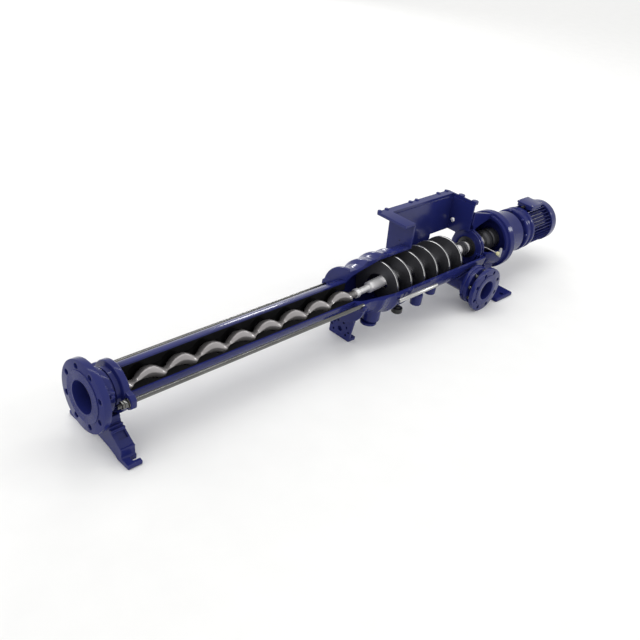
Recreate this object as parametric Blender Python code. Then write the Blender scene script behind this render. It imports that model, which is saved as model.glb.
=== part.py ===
"""Progressing cavity pump with an open hopper, shown with a quarter of its housings cut away.

The pump lies along X with the discharge flange at -X and the motor at +X. Z is up, the floor is at
z = 0, and the cut quarter is the near upper one, with y < 0 and z above the pump axis. Sizes are in
metres. Stations along the axis are measured from the discharge flange and shifted by HALF_LENGTH.
"""
import math

import bmesh
import bpy
from mathutils import Matrix, Vector

# Overall sizes
LENGTH = 2.372
HALF_LENGTH = LENGTH / 2
AXIS_HEIGHT = 0.180
GAP = 0.0003
SEAT = 0.0004

# Discharge flange, DN100 PN16
FLANGE_RADIUS = 0.110
FLANGE_THICKNESS = 0.022
RAISED_FACE_RADIUS = 0.079
RAISED_FACE = 0.003
FLANGE_BOLTS = 8
BOLT_CIRCLE = 0.090
BOLT_HOLE = 0.009
DISCHARGE_BORE = 0.050
NECK_RADIUS = 0.066
BODY_RADIUS = 0.071
BODY_END = 0.059
LEG_START = 0.050
LEG_WEB_END = 0.0585
LEG_END = 0.097
CUT_START = 0.107
SPIGOT_RADIUS = 0.062

# Stator
CLAMP_START = 0.070
CLAMP_END = 0.106
CLAMP_RADIUS = 0.078
TUBE_START = 0.0665
TUBE_END = 1.054
TUBE_RADIUS = 0.0572
TUBE_BORE = 0.0508
LINING_START = 0.0665
LINING_END = 1.050
ROTOR_PITCH = 0.115
ECCENTRICITY = 0.0120
ROTOR_RADIUS = 0.0200
RUNNING_CLEARANCE = 0.0014
ROTOR_START = 0.080
ROTOR_TURNS = 8.5
ORBIT_ANGLE = 210.0
ROTOR_PHASE = 92.0
STATIONS_PER_PITCH = 12
HAND = -1

# Tie rods
ROD_OFFSET = 0.090
ROD_RADIUS = 0.0072
ROD_START = 0.052
ROD_END = 1.055
ROD_HOLE = 0.0080
EAR_START = 0.087
EAR_END = 0.106
REAR_EAR_START = 1.042

# Rotor drive
HEAD_RADIUS = 0.0140
HEAD_END = 1.100
COLLAR_RADIUS = 0.0175
COLLAR_END = 1.118
PIVOT_STATION = 1.300
LINK_RADIUS = 0.0130
SLEEVE_RADIUS = 0.0215
SLEEVE_START = 1.175
SLEEVE_END = 1.285
BALL_RADIUS = 0.0180
SOCKET_RADIUS = 0.0235
HUB_START = 1.290
AUGER_START = 1.195
AUGER_END = 1.690
AUGER_PITCH = 0.079
AUGER_RADIUS = 0.085
AUGER_HUB = 0.032
RIBBON_INNER = 0.0332
FLIGHT_THICKNESS = 0.008
AUGER_PHASE = 147.0
AUGER_HAND = -1
SHAFT_RADIUS = 0.024

# Cone housing
CONE_START = 1.045
CONE_FLANGE_END = 1.059
CONE_FLANGE_RADIUS = 0.103
CONE_END = 1.262
TROUGH_RADIUS = 0.106
TROUGH_BORE = 0.094

# Trough and hopper
TROUGH_START = 1.264
TROUGH_END = 1.790
HOPPER_TOP = 0.200
HOPPER_FLANGE = 0.012
HOPPER_X = (1.391, 1.785)
HOPPER_INNER_X = (1.400, 1.778)
FLANGE_X = (1.340, 1.790)
HOPPER_Y = 0.145
HOPPER_INNER_Y = 0.112
HOPPER_FOOT_Y = 0.1095
HOPPER_WALL = 0.009
WINDOW_X = (1.660, 1.795)
WINDOW_Z = (-0.040, 0.047)

# Side port, DN50 PN16
PORT_STATION = 1.708
PORT_HEIGHT = -0.088
PORT_REACH = 0.190
PORT_SEAT = -0.130
PORT_BORE = 0.040
PORT_FLANGE_RADIUS = 0.092
PORT_BOLT_CIRCLE = 0.076

# Bar, stub and plug under the housings
BAR_Y = -0.1221
BAR_Z = -0.017
BAR_START = 1.217
BAR_END = 1.442
BAR_RADIUS = 0.0078
STUB_X = 1.156
STUB_Y = -0.056
PLUG_X = 1.305
PLUG_Y = -0.060

# Grease pipe, its knob and the cup beside it
GREASE_X = 1.853
GREASE_Y = -0.050
GREASE_Z = 0.0065
GREASE_END = -0.110
GREASE_RADIUS = 0.0030
CUP_X = 1.886
CUP_Y = -0.1084

# Drive end
SEAL_RADIUS = 0.075
LANTERN_START = 1.814
LANTERN_END = 1.985
LANTERN_RING_START = 1.935
LANTERN_RING_END = 1.968
LANTERN_RADIUS = 0.123
GEARBOX_RADIUS = 0.092
GEARBOX_END = 2.088
MOTOR_FLANGE_START = 2.114
MOTOR_FLANGE_END = 2.175
MOTOR_RADIUS = 0.088
FIN_START = 2.188
FAN_COVER_START = 2.325
FOOT_Y = 0.190


def clear_scene():
    """Removes whatever the file holds."""
    for thing in list(bpy.data.objects):
        bpy.data.objects.remove(thing, do_unlink=True)
    for mesh in list(bpy.data.meshes):
        bpy.data.meshes.remove(mesh)


def material(name, colour, roughness, metallic=0.0):
    """Makes one Principled material."""
    made = bpy.data.materials.new(name)
    made.use_nodes = True
    shader = made.node_tree.nodes["Principled BSDF"]
    shader.inputs["Base Color"].default_value = (*colour, 1.0)
    shader.inputs["Roughness"].default_value = roughness
    shader.inputs["Metallic"].default_value = metallic
    made.diffuse_color = (*colour, 1.0)
    return made


def place(x, y, z):
    """Turns axis coordinates into world coordinates."""
    return Vector((x - HALF_LENGTH, y, z + AXIS_HEIGHT))


def finish(name, bm, paint, smooth=40.0):
    """Makes an object from a bmesh given in axis coordinates."""
    bmesh.ops.remove_doubles(bm, verts=bm.verts, dist=1e-6)
    bmesh.ops.recalc_face_normals(bm, faces=bm.faces)
    mesh = bpy.data.meshes.new(name)
    bm.to_mesh(mesh)
    bm.free()
    mesh.transform(Matrix.Translation(place(0, 0, 0)))
    made = bpy.data.objects.new(name, mesh)
    bpy.context.scene.collection.objects.link(made)
    mesh.materials.append(paint)
    mesh.shade_smooth()
    mesh.set_sharp_from_angle(angle=math.radians(smooth))
    return made


def lathe(profile, start=0.0, end=360.0, count=48, centre=(0.0, 0.0)):
    """Turns a closed outline of (x, radius) about the axis, from start to end degrees.

    The angle is measured from straight up towards +Y, so the cut quarter is 270 to 360.
    """
    bm = bmesh.new()
    full = abs(end - start) >= 360.0
    steps = max(1, round(count * (end - start) / 360.0))
    rings = []
    for step in range(steps if full else steps + 1):
        angle = math.radians(start + (end - start) * step / steps)
        ring = []
        for index, (x, radius) in enumerate(profile):
            if radius < 1e-7 and rings:
                ring.append(rings[0][index])
                continue
            y = centre[0] + radius * math.sin(angle)
            z = centre[1] + radius * math.cos(angle)
            ring.append(bm.verts.new((x, y, z)))
        rings.append(ring)
    pairs = len(rings) if full else len(rings) - 1
    for step in range(pairs):
        first = rings[step]
        second = rings[(step + 1) % len(rings)]
        for index in range(len(profile)):
            after = (index + 1) % len(profile)
            corners = [first[index], first[after], second[after], second[index]]
            unique = list(dict.fromkeys(corners))
            if len(unique) > 2:
                bm.faces.new(unique)
    if not full:
        bm.faces.new(rings[0])
        bm.faces.new(rings[-1])
    return bm


def block(low, high):
    """Makes a box between two corners."""
    bm = bmesh.new()
    bmesh.ops.create_cube(bm, size=1.0)
    for vert in bm.verts:
        for axis in range(3):
            middle = (low[axis] + high[axis]) / 2
            vert.co[axis] = middle + vert.co[axis] * (high[axis] - low[axis])
    return bm


def prism(outline, axis, start, end):
    """Extrudes an outline along X, Y or Z. The outline gives the two other axes in order."""
    bm = bmesh.new()
    ends = []
    for level in (start, end):
        ring = []
        for pair in outline:
            point = list(pair)
            point.insert(axis, level)
            ring.append(bm.verts.new(point))
        ends.append(ring)
    count = len(outline)
    for index in range(count):
        after = (index + 1) % count
        bm.faces.new((ends[0][index], ends[0][after], ends[1][after], ends[1][index]))
    bm.faces.new(ends[0])
    bm.faces.new(ends[1])
    return bm


def rod(centre, axis, start, end, radius, sides=24):
    """Makes a round bar along X, Y or Z through a centre given as two numbers."""
    outline = []
    for step in range(sides):
        angle = 2 * math.pi * (step + 0.2) / sides
        outline.append((centre[0] + radius * math.cos(angle), centre[1] + radius * math.sin(angle)))
    return prism(outline, axis, start, end)


def combine(base, tools, operation):
    """Joins tools to the base or cuts them from it, and removes the tools."""
    for tool in tools:
        change = base.modifiers.new("Combine", "BOOLEAN")
        change.operation = operation
        change.solver = "EXACT"
        change.object = tool
        view = bpy.context.evaluated_depsgraph_get()
        mesh = bpy.data.meshes.new_from_object(base.evaluated_get(view))
        base.modifiers.clear()
        base.data = mesh
        bpy.data.objects.remove(tool, do_unlink=True)
    cleaned = bmesh.new()
    cleaned.from_mesh(base.data)
    bmesh.ops.remove_doubles(cleaned, verts=cleaned.verts, dist=2e-6)
    cleaned.to_mesh(base.data)
    cleaned.free()
    base.data.shade_smooth()
    base.data.set_sharp_from_angle(angle=math.radians(40))
    return base


def shape(name, bms, paint, cuts=()):
    """Joins shapes into one object and cuts others from it."""
    base = finish(name, bms[0], paint)
    if len(bms) > 1:
        tools = [finish(name + "_add", bm, paint) for bm in bms[1:]]
        combine(base, tools, "UNION")
    if cuts:
        tools = [finish(name + "_cut", bm, paint) for bm in cuts]
        combine(base, tools, "DIFFERENCE")
    return base


def quarter(start, end):
    """Gives the block that takes the near upper quarter away."""
    return block((start, -0.5, 0.0), (end, 0.0, 0.5))


def ring_outline(x0, x1, inner, outer):
    """Gives the outline of a plain ring for the lathe."""
    return [(x0, inner), (x1, inner), (x1, outer), (x0, outer)]


def direction(angle):
    """Gives (y, z) of a unit step at an angle from up towards +Y."""
    return math.sin(math.radians(angle)), math.cos(math.radians(angle))


def rotor_axis():
    """Gives (y, z) of the rotor's own axis at rest."""
    step = direction(ORBIT_ANGLE)
    return step[0] * ECCENTRICITY, step[1] * ECCENTRICITY


def cavity_radius(angle, slot_angle):
    """Gives the reach of the stator's oval hole at an angle, with the oval's long way at slot_angle."""
    radius = ROTOR_RADIUS + RUNNING_CLEARANCE
    half = 2 * ECCENTRICITY
    turn = math.radians(angle - slot_angle)
    along = abs(math.cos(turn))
    across = abs(math.sin(turn))
    if across * half >= radius * along:
        return radius / across
    return half * along + math.sqrt(radius ** 2 - (half * across) ** 2)


def slot_angle(x):
    """Gives the direction of the oval hole at a station."""
    return (ORBIT_ANGLE + ROTOR_PHASE) / 2 + HAND * 180.0 * (x - ROTOR_START) / ROTOR_PITCH


def stator_lining(paint):
    """Makes the rubber lining with its two-start screw hole, whole under the clamp ring."""
    step = ROTOR_PITCH / STATIONS_PER_PITCH
    spread = 180.0 / STATIONS_PER_PITCH
    outer_radius = TUBE_BORE - GAP
    around = round(360 / spread)
    cut = round(270 / spread)
    before = int((CUT_START - TUBE_START) / step)
    after = int((LINING_END - CUT_START) / step)
    bm = bmesh.new()
    inner = []
    for index in range(-before, after + 1):
        x = CUT_START + step * index
        ring = []
        for column in range(around if index <= 0 else cut + 1):
            reach = cavity_radius(column * spread, slot_angle(x))
            side = direction(column * spread)
            ring.append(bm.verts.new((x, reach * side[0], reach * side[1])))
        inner.append(ring)
    stations = [-before, 0] + list(range(4, after, 4)) + [after]
    outer = []
    for index in stations:
        ring = []
        for column in range(around if index <= 0 else cut + 1):
            side = direction(column * spread)
            ring.append(bm.verts.new((CUT_START + step * index, outer_radius * side[0],
                                      outer_radius * side[1])))
        outer.append(ring)
    for index in range(len(inner) - 1):
        columns = around if index < before else cut
        for column in range(columns):
            after_column = (column + 1) % around
            a, b = inner[index][column], inner[index][after_column]
            c, d = inner[index + 1][after_column], inner[index + 1][column]
            if HAND > 0:
                bm.faces.new((a, b, c))
                bm.faces.new((a, c, d))
            else:
                bm.faces.new((a, b, d))
                bm.faces.new((b, c, d))
    for column in range(around):
        turned = (column + 1) % around
        bm.faces.new((outer[0][column], outer[0][turned], outer[1][turned], outer[1][column]))
        bm.faces.new((outer[0][column], outer[0][turned], inner[0][turned], inner[0][column]))
        if column < cut:
            for first, second in zip(outer[1:], outer[2:]):
                bm.faces.new((first[column], first[turned], second[turned], second[column]))
            bm.faces.new((outer[-1][column], outer[-1][turned], inner[-1][turned],
                          inner[-1][column]))
        else:
            bm.faces.new((outer[1][column], outer[1][turned], inner[before][turned],
                          inner[before][column]))
    for column in (0, cut):
        for cell in range(1, len(stations) - 1):
            edge = inner[before + stations[cell]:before + stations[cell + 1] + 1]
            bm.faces.new([outer[cell][column]] + [ring[column] for ring in edge]
                         + [outer[cell + 1][column]])
    bmesh.ops.triangulate(bm, faces=[face for face in bm.faces if len(face.verts) > 4])
    return finish("stator_lining", bm, paint, 25)


def rotor(paint):
    """Makes the single-start screw rotor with its drive head."""
    bm = bmesh.new()
    axis = rotor_axis()
    step = ROTOR_PITCH / STATIONS_PER_PITCH
    count = int(ROTOR_TURNS * STATIONS_PER_PITCH)
    sides = 12
    rings = []
    for index in range(count + 1):
        x = ROTOR_START + step * index
        swing = direction(ROTOR_PHASE + HAND * 360.0 * (x - ROTOR_START) / ROTOR_PITCH)
        rings.append((x, axis[0] + ECCENTRICITY * swing[0], axis[1] + ECCENTRICITY * swing[1],
                      ROTOR_RADIUS))
    last = rings[-1]
    rings.append((last[0] + 0.006, axis[0], axis[1], HEAD_RADIUS))
    rings.append((HEAD_END, axis[0], axis[1], HEAD_RADIUS))
    made = []
    for x, y, z, radius in rings:
        ring = []
        for side in range(sides):
            angle = 2 * math.pi * side / sides
            ring.append(bm.verts.new((x, y + radius * math.sin(angle), z + radius * math.cos(angle))))
        made.append(ring)
    for first, second in zip(made, made[1:]):
        for side in range(sides):
            after = (side + 1) % sides
            bm.faces.new((first[side], first[after], second[after], second[side]))
    bm.faces.new(made[0])
    bm.faces.new(made[-1])
    return finish("rotor", bm, paint, 50)


def coupling_rod(paint):
    """Makes the link between the offset rotor and the auger, with its collar and ball."""
    bm = bmesh.new()
    axis = rotor_axis()
    start = HEAD_END + 0.0005
    length = PIVOT_STATION - start
    profile = [(start, COLLAR_RADIUS), (COLLAR_END, COLLAR_RADIUS), (COLLAR_END + 0.005, LINK_RADIUS),
               (SLEEVE_START - 0.004, LINK_RADIUS), (SLEEVE_START, SLEEVE_RADIUS),
               (SLEEVE_END - 0.002, SLEEVE_RADIUS), (SLEEVE_END, BALL_RADIUS),
               (PIVOT_STATION, BALL_RADIUS)]
    stations = [(x, (PIVOT_STATION - x) / length, radius) for x, radius in profile]
    sides = 20
    made = []
    for x, share, radius in stations:
        ring = []
        for side in range(sides):
            angle = 2 * math.pi * side / sides
            ring.append(bm.verts.new((x, axis[0] * share + radius * math.sin(angle),
                                      axis[1] * share + radius * math.cos(angle))))
        made.append(ring)
    for first, second in zip(made, made[1:]):
        for side in range(sides):
            after = (side + 1) % sides
            bm.faces.new((first[side], first[after], second[after], second[side]))
    bm.faces.new(made[0])
    bm.faces.new(made[-1])
    return finish("coupling_rod", bm, paint)


def auger(paint):
    """Makes the feed auger: a hub with one helical flight that runs on as a ribbon around the link."""
    bm = bmesh.new()
    per_turn = 24
    turns = (AUGER_END - 0.004 - AUGER_START - FLIGHT_THICKNESS) / AUGER_PITCH
    count = int(turns * per_turn)
    half = FLIGHT_THICKNESS / 2
    rows = []
    for index in range(count + 1):
        side = direction(AUGER_PHASE + AUGER_HAND * 360.0 * index / per_turn)
        x = AUGER_START + half + AUGER_PITCH * index / per_turn
        root = RIBBON_INNER if x - half < HUB_START else AUGER_HUB - 0.004
        row = []
        for dx, radius in ((-half, root), (-half, AUGER_RADIUS), (half, AUGER_RADIUS), (half, root)):
            row.append(bm.verts.new((x + dx, radius * side[0], radius * side[1])))
        rows.append(row)
    for first, second in zip(rows, rows[1:]):
        for index in range(4):
            after = (index + 1) % 4
            bm.faces.new((first[index], first[after], second[after], second[index]))
    bm.faces.new(rows[0])
    bm.faces.new(rows[-1])
    bmesh.ops.triangulate(bm, faces=bm.faces[:])
    depth = PIVOT_STATION + 0.0005
    hub = lathe([(HUB_START, SOCKET_RADIUS), (HUB_START, AUGER_HUB), (AUGER_END, AUGER_HUB),
                 (AUGER_END, 0.0), (depth, 0.0), (depth, SOCKET_RADIUS)], count=24)
    return shape("auger", [hub, bm], paint)


def discharge_casting(paint):
    """Makes the discharge flange and its body in one casting, with its gauge pads."""
    face = RAISED_FACE
    back = FLANGE_THICKNESS + RAISED_FACE
    outline = [(0.0, DISCHARGE_BORE), (0.0, RAISED_FACE_RADIUS), (face, RAISED_FACE_RADIUS),
               (face, FLANGE_RADIUS), (back, FLANGE_RADIUS), (back, NECK_RADIUS + 0.006),
               (back + 0.004, NECK_RADIUS), (BODY_END - 0.020, BODY_RADIUS - 0.001),
               (BODY_END - 0.016, BODY_RADIUS), (BODY_END, BODY_RADIUS), (BODY_END, SPIGOT_RADIUS),
               (TUBE_START - SEAT, SPIGOT_RADIUS), (TUBE_START - SEAT, DISCHARGE_BORE)]
    solids = [lathe(outline, count=36), block((0.020, -0.078, 0.014), (0.037, -0.054, 0.044)),
              block((0.036, -0.074, 0.016), (0.0585, -0.054, 0.040))]
    cuts = []
    for step in range(FLANGE_BOLTS):
        side = direction(22.5 + 45 * step)
        cuts.append(rod((BOLT_CIRCLE * side[0], BOLT_CIRCLE * side[1]), 0, -0.01, back + 0.012,
                        BOLT_HOLE, 12))
    return shape("discharge_casting", solids, paint, cuts)


def discharge_foot(paint):
    """Makes the foot around the discharge casting: a web with two ribbed legs."""
    front = [(-0.155, -0.180), (-0.098, -0.180), (-0.088, -0.173), (-0.044, -0.163), (0.0, -0.158),
             (0.044, -0.163), (0.088, -0.173), (0.098, -0.180), (0.155, -0.180), (0.155, -0.166),
             (0.118, -0.163), (0.116, -0.132), (0.092, -0.108), (0.080, -0.072), (0.080, -0.020),
             (-0.080, -0.020), (-0.080, -0.072), (-0.092, -0.108), (-0.116, -0.132),
             (-0.118, -0.163), (-0.155, -0.166)]
    solids = [prism(front, 0, LEG_START, LEG_WEB_END)]
    cuts = [rod((0.0, 0.0), 0, LEG_START - 0.004, LEG_WEB_END + 0.002, BODY_RADIUS + GAP, 36)]
    for side in (-1, 1):
        leg = [(side * 0.022, -0.084), (side * 0.026, -0.140), (side * 0.050, -0.158),
               (side * 0.088, -0.170), (side * 0.098, -0.180), (side * 0.155, -0.180),
               (side * 0.155, -0.166), (side * 0.118, -0.163), (side * 0.116, -0.132),
               (side * 0.092, -0.108), (side * 0.050, -0.088)]
        solids.append(prism(leg, 0, LEG_WEB_END - 0.002, LEG_END))
        low, high = sorted((side * 0.141, side * 0.123))
        cuts.append(block((0.068, low, -0.19), (0.11, high, -0.155)))
        pocket = [(side * 0.046, -0.148), (side * 0.086, -0.152), (side * 0.100, -0.136),
                  (side * 0.056, -0.104)]
        cuts.append(prism(pocket, 0, LEG_WEB_END + 0.004, 0.120))
    return shape("discharge_foot", solids, paint, cuts)


def stator_clamp_ring(paint):
    """Makes the ring that clamps the stator tube, with an ear for each tie rod."""
    inner = TUBE_RADIUS + GAP
    outline = [(CLAMP_START, inner), (CLAMP_START, 0.074), (CLAMP_START + 0.004, 0.080),
               (CLAMP_START + 0.010, 0.080), (CLAMP_START + 0.013, 0.076),
               (CLAMP_START + 0.022, 0.076), (CLAMP_START + 0.025, 0.080),
               (CLAMP_END - 0.004, 0.080), (CLAMP_END, 0.076), (CLAMP_END, inner)]
    ears = []
    cuts = []
    for side in (-1, 1):
        cuts.append(rod((side * ROD_OFFSET, 0.0), 0, CLAMP_START - 0.01, EAR_START, 0.0158, 16))
        ears.append(prism([(side * 0.064, -0.028), (side * 0.092, -0.024), (side * 0.107, -0.014),
                           (side * 0.107, 0.014), (side * 0.092, 0.024), (side * 0.064, 0.028)],
                          0, EAR_START, EAR_END))
        cuts.append(rod((side * ROD_OFFSET, 0.0), 0, EAR_START - 0.01, EAR_END + 0.01, ROD_HOLE, 16))
    return shape("stator_clamp_ring", [lathe(outline, count=32)] + ears, paint, cuts)


def stator_tube(paint):
    """Makes the steel tube of the stator, whole under the clamp ring and cut open behind it."""
    tube = lathe(ring_outline(TUBE_START, TUBE_END, TUBE_BORE, TUBE_RADIUS), count=48)
    return shape("stator_tube", [tube], paint, [quarter(CUT_START, TUBE_END + 0.01)])


def tie_rod(name, side, paint):
    """Makes one tie rod with its nuts and washers."""
    seat = EAR_START - SEAT
    outline = [(ROD_START, 0.0), (ROD_START, ROD_RADIUS - 0.001), (ROD_START + 0.002, ROD_RADIUS),
               (seat - 0.022, ROD_RADIUS), (seat - 0.022, 0.0125), (seat - 0.010, 0.0125),
               (seat - 0.010, 0.0150), (seat, 0.0150), (seat, ROD_RADIUS),
               (ROD_END, ROD_RADIUS), (ROD_END, 0.0)]
    bm = lathe(outline, count=12, centre=(side * ROD_OFFSET, 0.0))
    return finish(name, bm, paint)


def compression_housing(paint):
    """Makes the cone housing between the trough and the stator, cut open."""
    outer = [(CONE_START, 0.0), (CONE_START, CONE_FLANGE_RADIUS),
             (CONE_FLANGE_END, CONE_FLANGE_RADIUS), (CONE_FLANGE_END, 0.0905), (1.100, 0.088),
             (1.128, 0.094), (1.145, 0.106), (1.155, 0.107), (1.174, 0.103), (1.192, 0.103),
             (1.208, 0.108), (1.221, 0.1147), (1.231, 0.115), (1.248, 0.110), (CONE_END, 0.108),
             (CONE_END, 0.0)]
    bore = [(CONE_START - 0.01, 0.0), (CONE_START - 0.01, TUBE_RADIUS + GAP),
            (TUBE_END + 0.0005, TUBE_RADIUS + GAP), (TUBE_END + 0.0005, 0.056), (1.060, 0.058),
            (1.075, 0.068), (1.126, 0.078), (1.220, TROUGH_BORE), (CONE_END + 0.01, TROUGH_BORE),
            (CONE_END + 0.01, 0.0)]
    solids = [lathe(outer, count=40)]
    cuts = [lathe(bore, count=44), quarter(CONE_START - 0.05, CONE_END + 0.05)]
    for side in (-1, 1):
        solids.append(prism([(side * 0.070, -0.026), (side * 0.092, -0.024), (side * 0.108, -0.014),
                             (side * 0.108, 0.014), (side * 0.092, 0.024), (side * 0.070, 0.026)],
                            0, REAR_EAR_START, CONE_FLANGE_END - 0.002))
        cuts.insert(0, rod((side * ROD_OFFSET, 0.0), 0, REAR_EAR_START - 0.01, ROD_END + 0.002,
                           ROD_HOLE, 16))
    solids.append(rod((STUB_X, STUB_Y), 2, -0.1045, -0.060, 0.033, 20))
    return shape("compression_housing", solids, paint, cuts)


def screw_trough(paint):
    """Makes the trough around the auger, cut open and open at the top under the hopper."""
    outer = [(TROUGH_START, 0.0), (TROUGH_START, 0.108), (1.286, 0.106), (1.295, 0.1105),
             (1.304, 0.1105), (1.318, 0.104), (TROUGH_END, 0.104), (TROUGH_END, 0.0)]
    solids = [lathe(outer, count=32)]
    solids.append(rod((PORT_STATION, PORT_HEIGHT), 1, PORT_SEAT, -0.020, 0.052, 28))
    solids.append(rod((PORT_STATION, PORT_HEIGHT), 1, PORT_SEAT, PORT_SEAT + 0.016, 0.080, 28))
    for x, y, low in ((1.408, -0.068, -0.117), (1.500, -0.060, -0.100)):
        solids.append(rod((x, y), 2, low, -0.070, 0.023, 16))
    cuts = [rod((0.0, 0.0), 0, TROUGH_START - 0.01, TROUGH_END - 0.016, TROUGH_BORE, 40),
            rod((0.0, 0.0), 0, TROUGH_END - 0.03, TROUGH_END + 0.01, 0.060, 32),
            quarter(TROUGH_START - 0.05, TROUGH_END + 0.05),
            block((HOPPER_X[0] - 0.002, -0.01, 0.0006), (TROUGH_END + 0.01, 0.2, 0.2)),
            block((WINDOW_X[0], 0.056, WINDOW_Z[0]), (WINDOW_X[1], 0.130, 0.010)),
            rod((PORT_STATION, PORT_HEIGHT), 1, PORT_SEAT - 0.01, -0.040, PORT_BORE, 24)]
    return shape("screw_trough", solids, paint, cuts)


def trough_bar(paint):
    """Makes the grey bar below the trough's near cut edge."""
    return finish("trough_bar", rod((BAR_Y, BAR_Z), 0, BAR_START, BAR_END, BAR_RADIUS, 12), paint)


def drain_stub(paint):
    """Makes the drain stub under the cone housing, with its flange and its cover."""
    x, y = STUB_X, STUB_Y
    solids = [rod((x, y), 2, -0.118, -0.1048, 0.025, 20),
              rod((x - 0.010, y), 2, -0.119, -0.110, 0.031, 20)]
    return shape("drain_stub", solids, paint)


def drain_plug(paint):
    """Makes the black plug under the cone housing."""
    outline = [(-0.126, 0.0), (-0.126, 0.016), (-0.122, 0.021), (-0.1045, 0.021), (-0.1045, 0.010),
               (-0.0988, 0.010), (-0.0988, 0.0)]
    bm = lathe(outline, count=16)
    bm.transform(Matrix.Translation((PLUG_X, PLUG_Y, 0))
                 @ Matrix.Rotation(math.radians(-90), 4, "Y"))
    return finish("drain_plug", bm, paint)


def hopper(paint):
    """Makes the hopper's far wall and the far halves of its two end walls."""
    top = HOPPER_TOP - HOPPER_FLANGE - GAP
    wall = HOPPER_WALL
    outside = [(0.0, 0.0010), (HOPPER_FOOT_Y, 0.0010), (HOPPER_FOOT_Y, 0.045),
               (HOPPER_INNER_Y + wall, top), (0.0, top)]
    inside = [(-0.010, -0.010), (HOPPER_FOOT_Y - wall, -0.010), (HOPPER_FOOT_Y - wall, 0.045),
              (HOPPER_INNER_Y, top + 0.010), (-0.010, top + 0.010)]
    front = screw_clearance(TROUGH_BORE - 0.0005)
    rear = screw_clearance(SEAL_RADIUS + GAP)
    cuts = [prism(inside, 0, HOPPER_INNER_X[0], HOPPER_INNER_X[1]),
            prism(front, 0, HOPPER_X[0] - 0.01, HOPPER_INNER_X[0] + 0.01),
            prism(rear, 0, HOPPER_INNER_X[1] - 0.01, HOPPER_X[1] + 0.01),
            block((WINDOW_X[0], 0.050, -0.02), (WINDOW_X[1], 0.130, WINDOW_Z[1]))]
    return shape("hopper", [prism(outside, 0, HOPPER_X[0], HOPPER_X[1])], paint, cuts)


def screw_clearance(radius):
    """Gives a quarter round in the far upper side that clears a round piece of this radius."""
    outline = [(-0.010, -0.010), (radius, -0.010)]
    for step in range(7):
        side = direction(90 - 15 * step)
        outline.append((radius * side[0], radius * side[1]))
    outline.append((-0.010, radius))
    return outline


def hopper_flange(paint):
    """Makes the far half of the hopper's top flange with its bolt lugs."""
    low = HOPPER_TOP - HOPPER_FLANGE
    solids = [block((FLANGE_X[0], 0.0, low), (FLANGE_X[1], HOPPER_Y, HOPPER_TOP))]
    for x in (1.352, 1.392, 1.536, 1.575, 1.716, 1.771):
        solids.append(rod((x, HOPPER_Y - 0.003), 2, low + 0.001, HOPPER_TOP + 0.003, 0.009, 12))
    for y in (0.012, 0.080):
        solids.append(rod((FLANGE_X[1] + 0.004, y), 2, low + 0.001, HOPPER_TOP + 0.003, 0.014, 12))
    cuts = [block((HOPPER_X[0] + 0.003, -0.01, low - 0.01),
                  (HOPPER_X[1] - 0.003, HOPPER_INNER_Y + 0.002, HOPPER_TOP + 0.02)),
            block((1.7, -0.1, low - 0.01), (1.9, 0.0, HOPPER_TOP + 0.02))]
    return shape("hopper_flange", solids, paint, cuts)


def port_spool(paint):
    """Makes the side port's spool with its front flange."""
    seat = PORT_SEAT - SEAT
    outline = [(seat, PORT_BORE), (seat, 0.078), (seat - 0.016, 0.078), (seat - 0.018, 0.050),
               (-PORT_REACH + 0.022, 0.050), (-PORT_REACH + 0.020, PORT_FLANGE_RADIUS),
               (-PORT_REACH + 0.003, PORT_FLANGE_RADIUS), (-PORT_REACH + 0.003, 0.066),
               (-PORT_REACH, 0.066), (-PORT_REACH, PORT_BORE)]
    bm = lathe(outline, count=28)
    bm.transform(Matrix.Translation((PORT_STATION, 0, PORT_HEIGHT))
                 @ Matrix.Rotation(math.radians(90), 4, "Z"))
    cuts = []
    for step in range(8):
        side = direction(22.5 + 45 * step)
        cuts.append(rod((PORT_STATION + PORT_BOLT_CIRCLE * side[0],
                         PORT_HEIGHT + PORT_BOLT_CIRCLE * side[1]), 1, -PORT_REACH - 0.01,
                        -PORT_REACH + 0.03, 0.008, 8))
    return shape("port_spool", [bm], paint, cuts)


def middle_foot(paint):
    """Makes the foot under the cone housing: a plate with a hole, and its toe."""
    plate = [(-0.050, -0.180), (0.050, -0.180), (0.050, -0.147), (0.058, -0.090), (0.052, -0.080),
             (-0.052, -0.080), (-0.058, -0.090), (-0.050, -0.147)]
    start = CONE_FLANGE_END + GAP
    solids = [prism(plate, 0, start, start + 0.011),
              block((start, -0.050, -0.180), (start + 0.036, 0.050, -0.167)),
              prism([(start + 0.010, -0.168), (start + 0.010, -0.100), (start + 0.019, -0.100),
                     (start + 0.033, -0.168)], 1, -0.006, 0.006)]
    cuts = [rod((0.0, 0.0), 0, 1.05, 1.10, 0.0911, 48),
            rod((0.0, -0.146), 0, 1.05, start + 0.009, 0.010, 16)]
    for side in (-1, 1):
        cuts.append(rod((start + 0.024, side * 0.032), 2, -0.19, -0.16, 0.007, 12))
    return shape("middle_foot", solids, paint, cuts)


def seal_housing(paint):
    """Makes the drum that holds the shaft seal at the end of the trough."""
    outline = [(TROUGH_END + SEAT, 0.046), (TROUGH_END + SEAT, 0.075), (1.797, 0.075),
               (1.799, 0.068), (1.803, 0.068), (1.805, 0.075), (LANTERN_START - SEAT, 0.075),
               (LANTERN_START - SEAT, 0.046)]
    return finish("seal_housing", lathe(outline, count=24), paint)


def shaft_seal(paint):
    """Makes the black ring of the shaft seal."""
    outline = [(1.784, SHAFT_RADIUS + 0.0005), (1.784, 0.034), (1.790, 0.034), (1.792, 0.0455),
               (1.812, 0.0455), (1.812, SHAFT_RADIUS + 0.0005)]
    return finish("shaft_seal", lathe(outline, count=28), paint)


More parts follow.
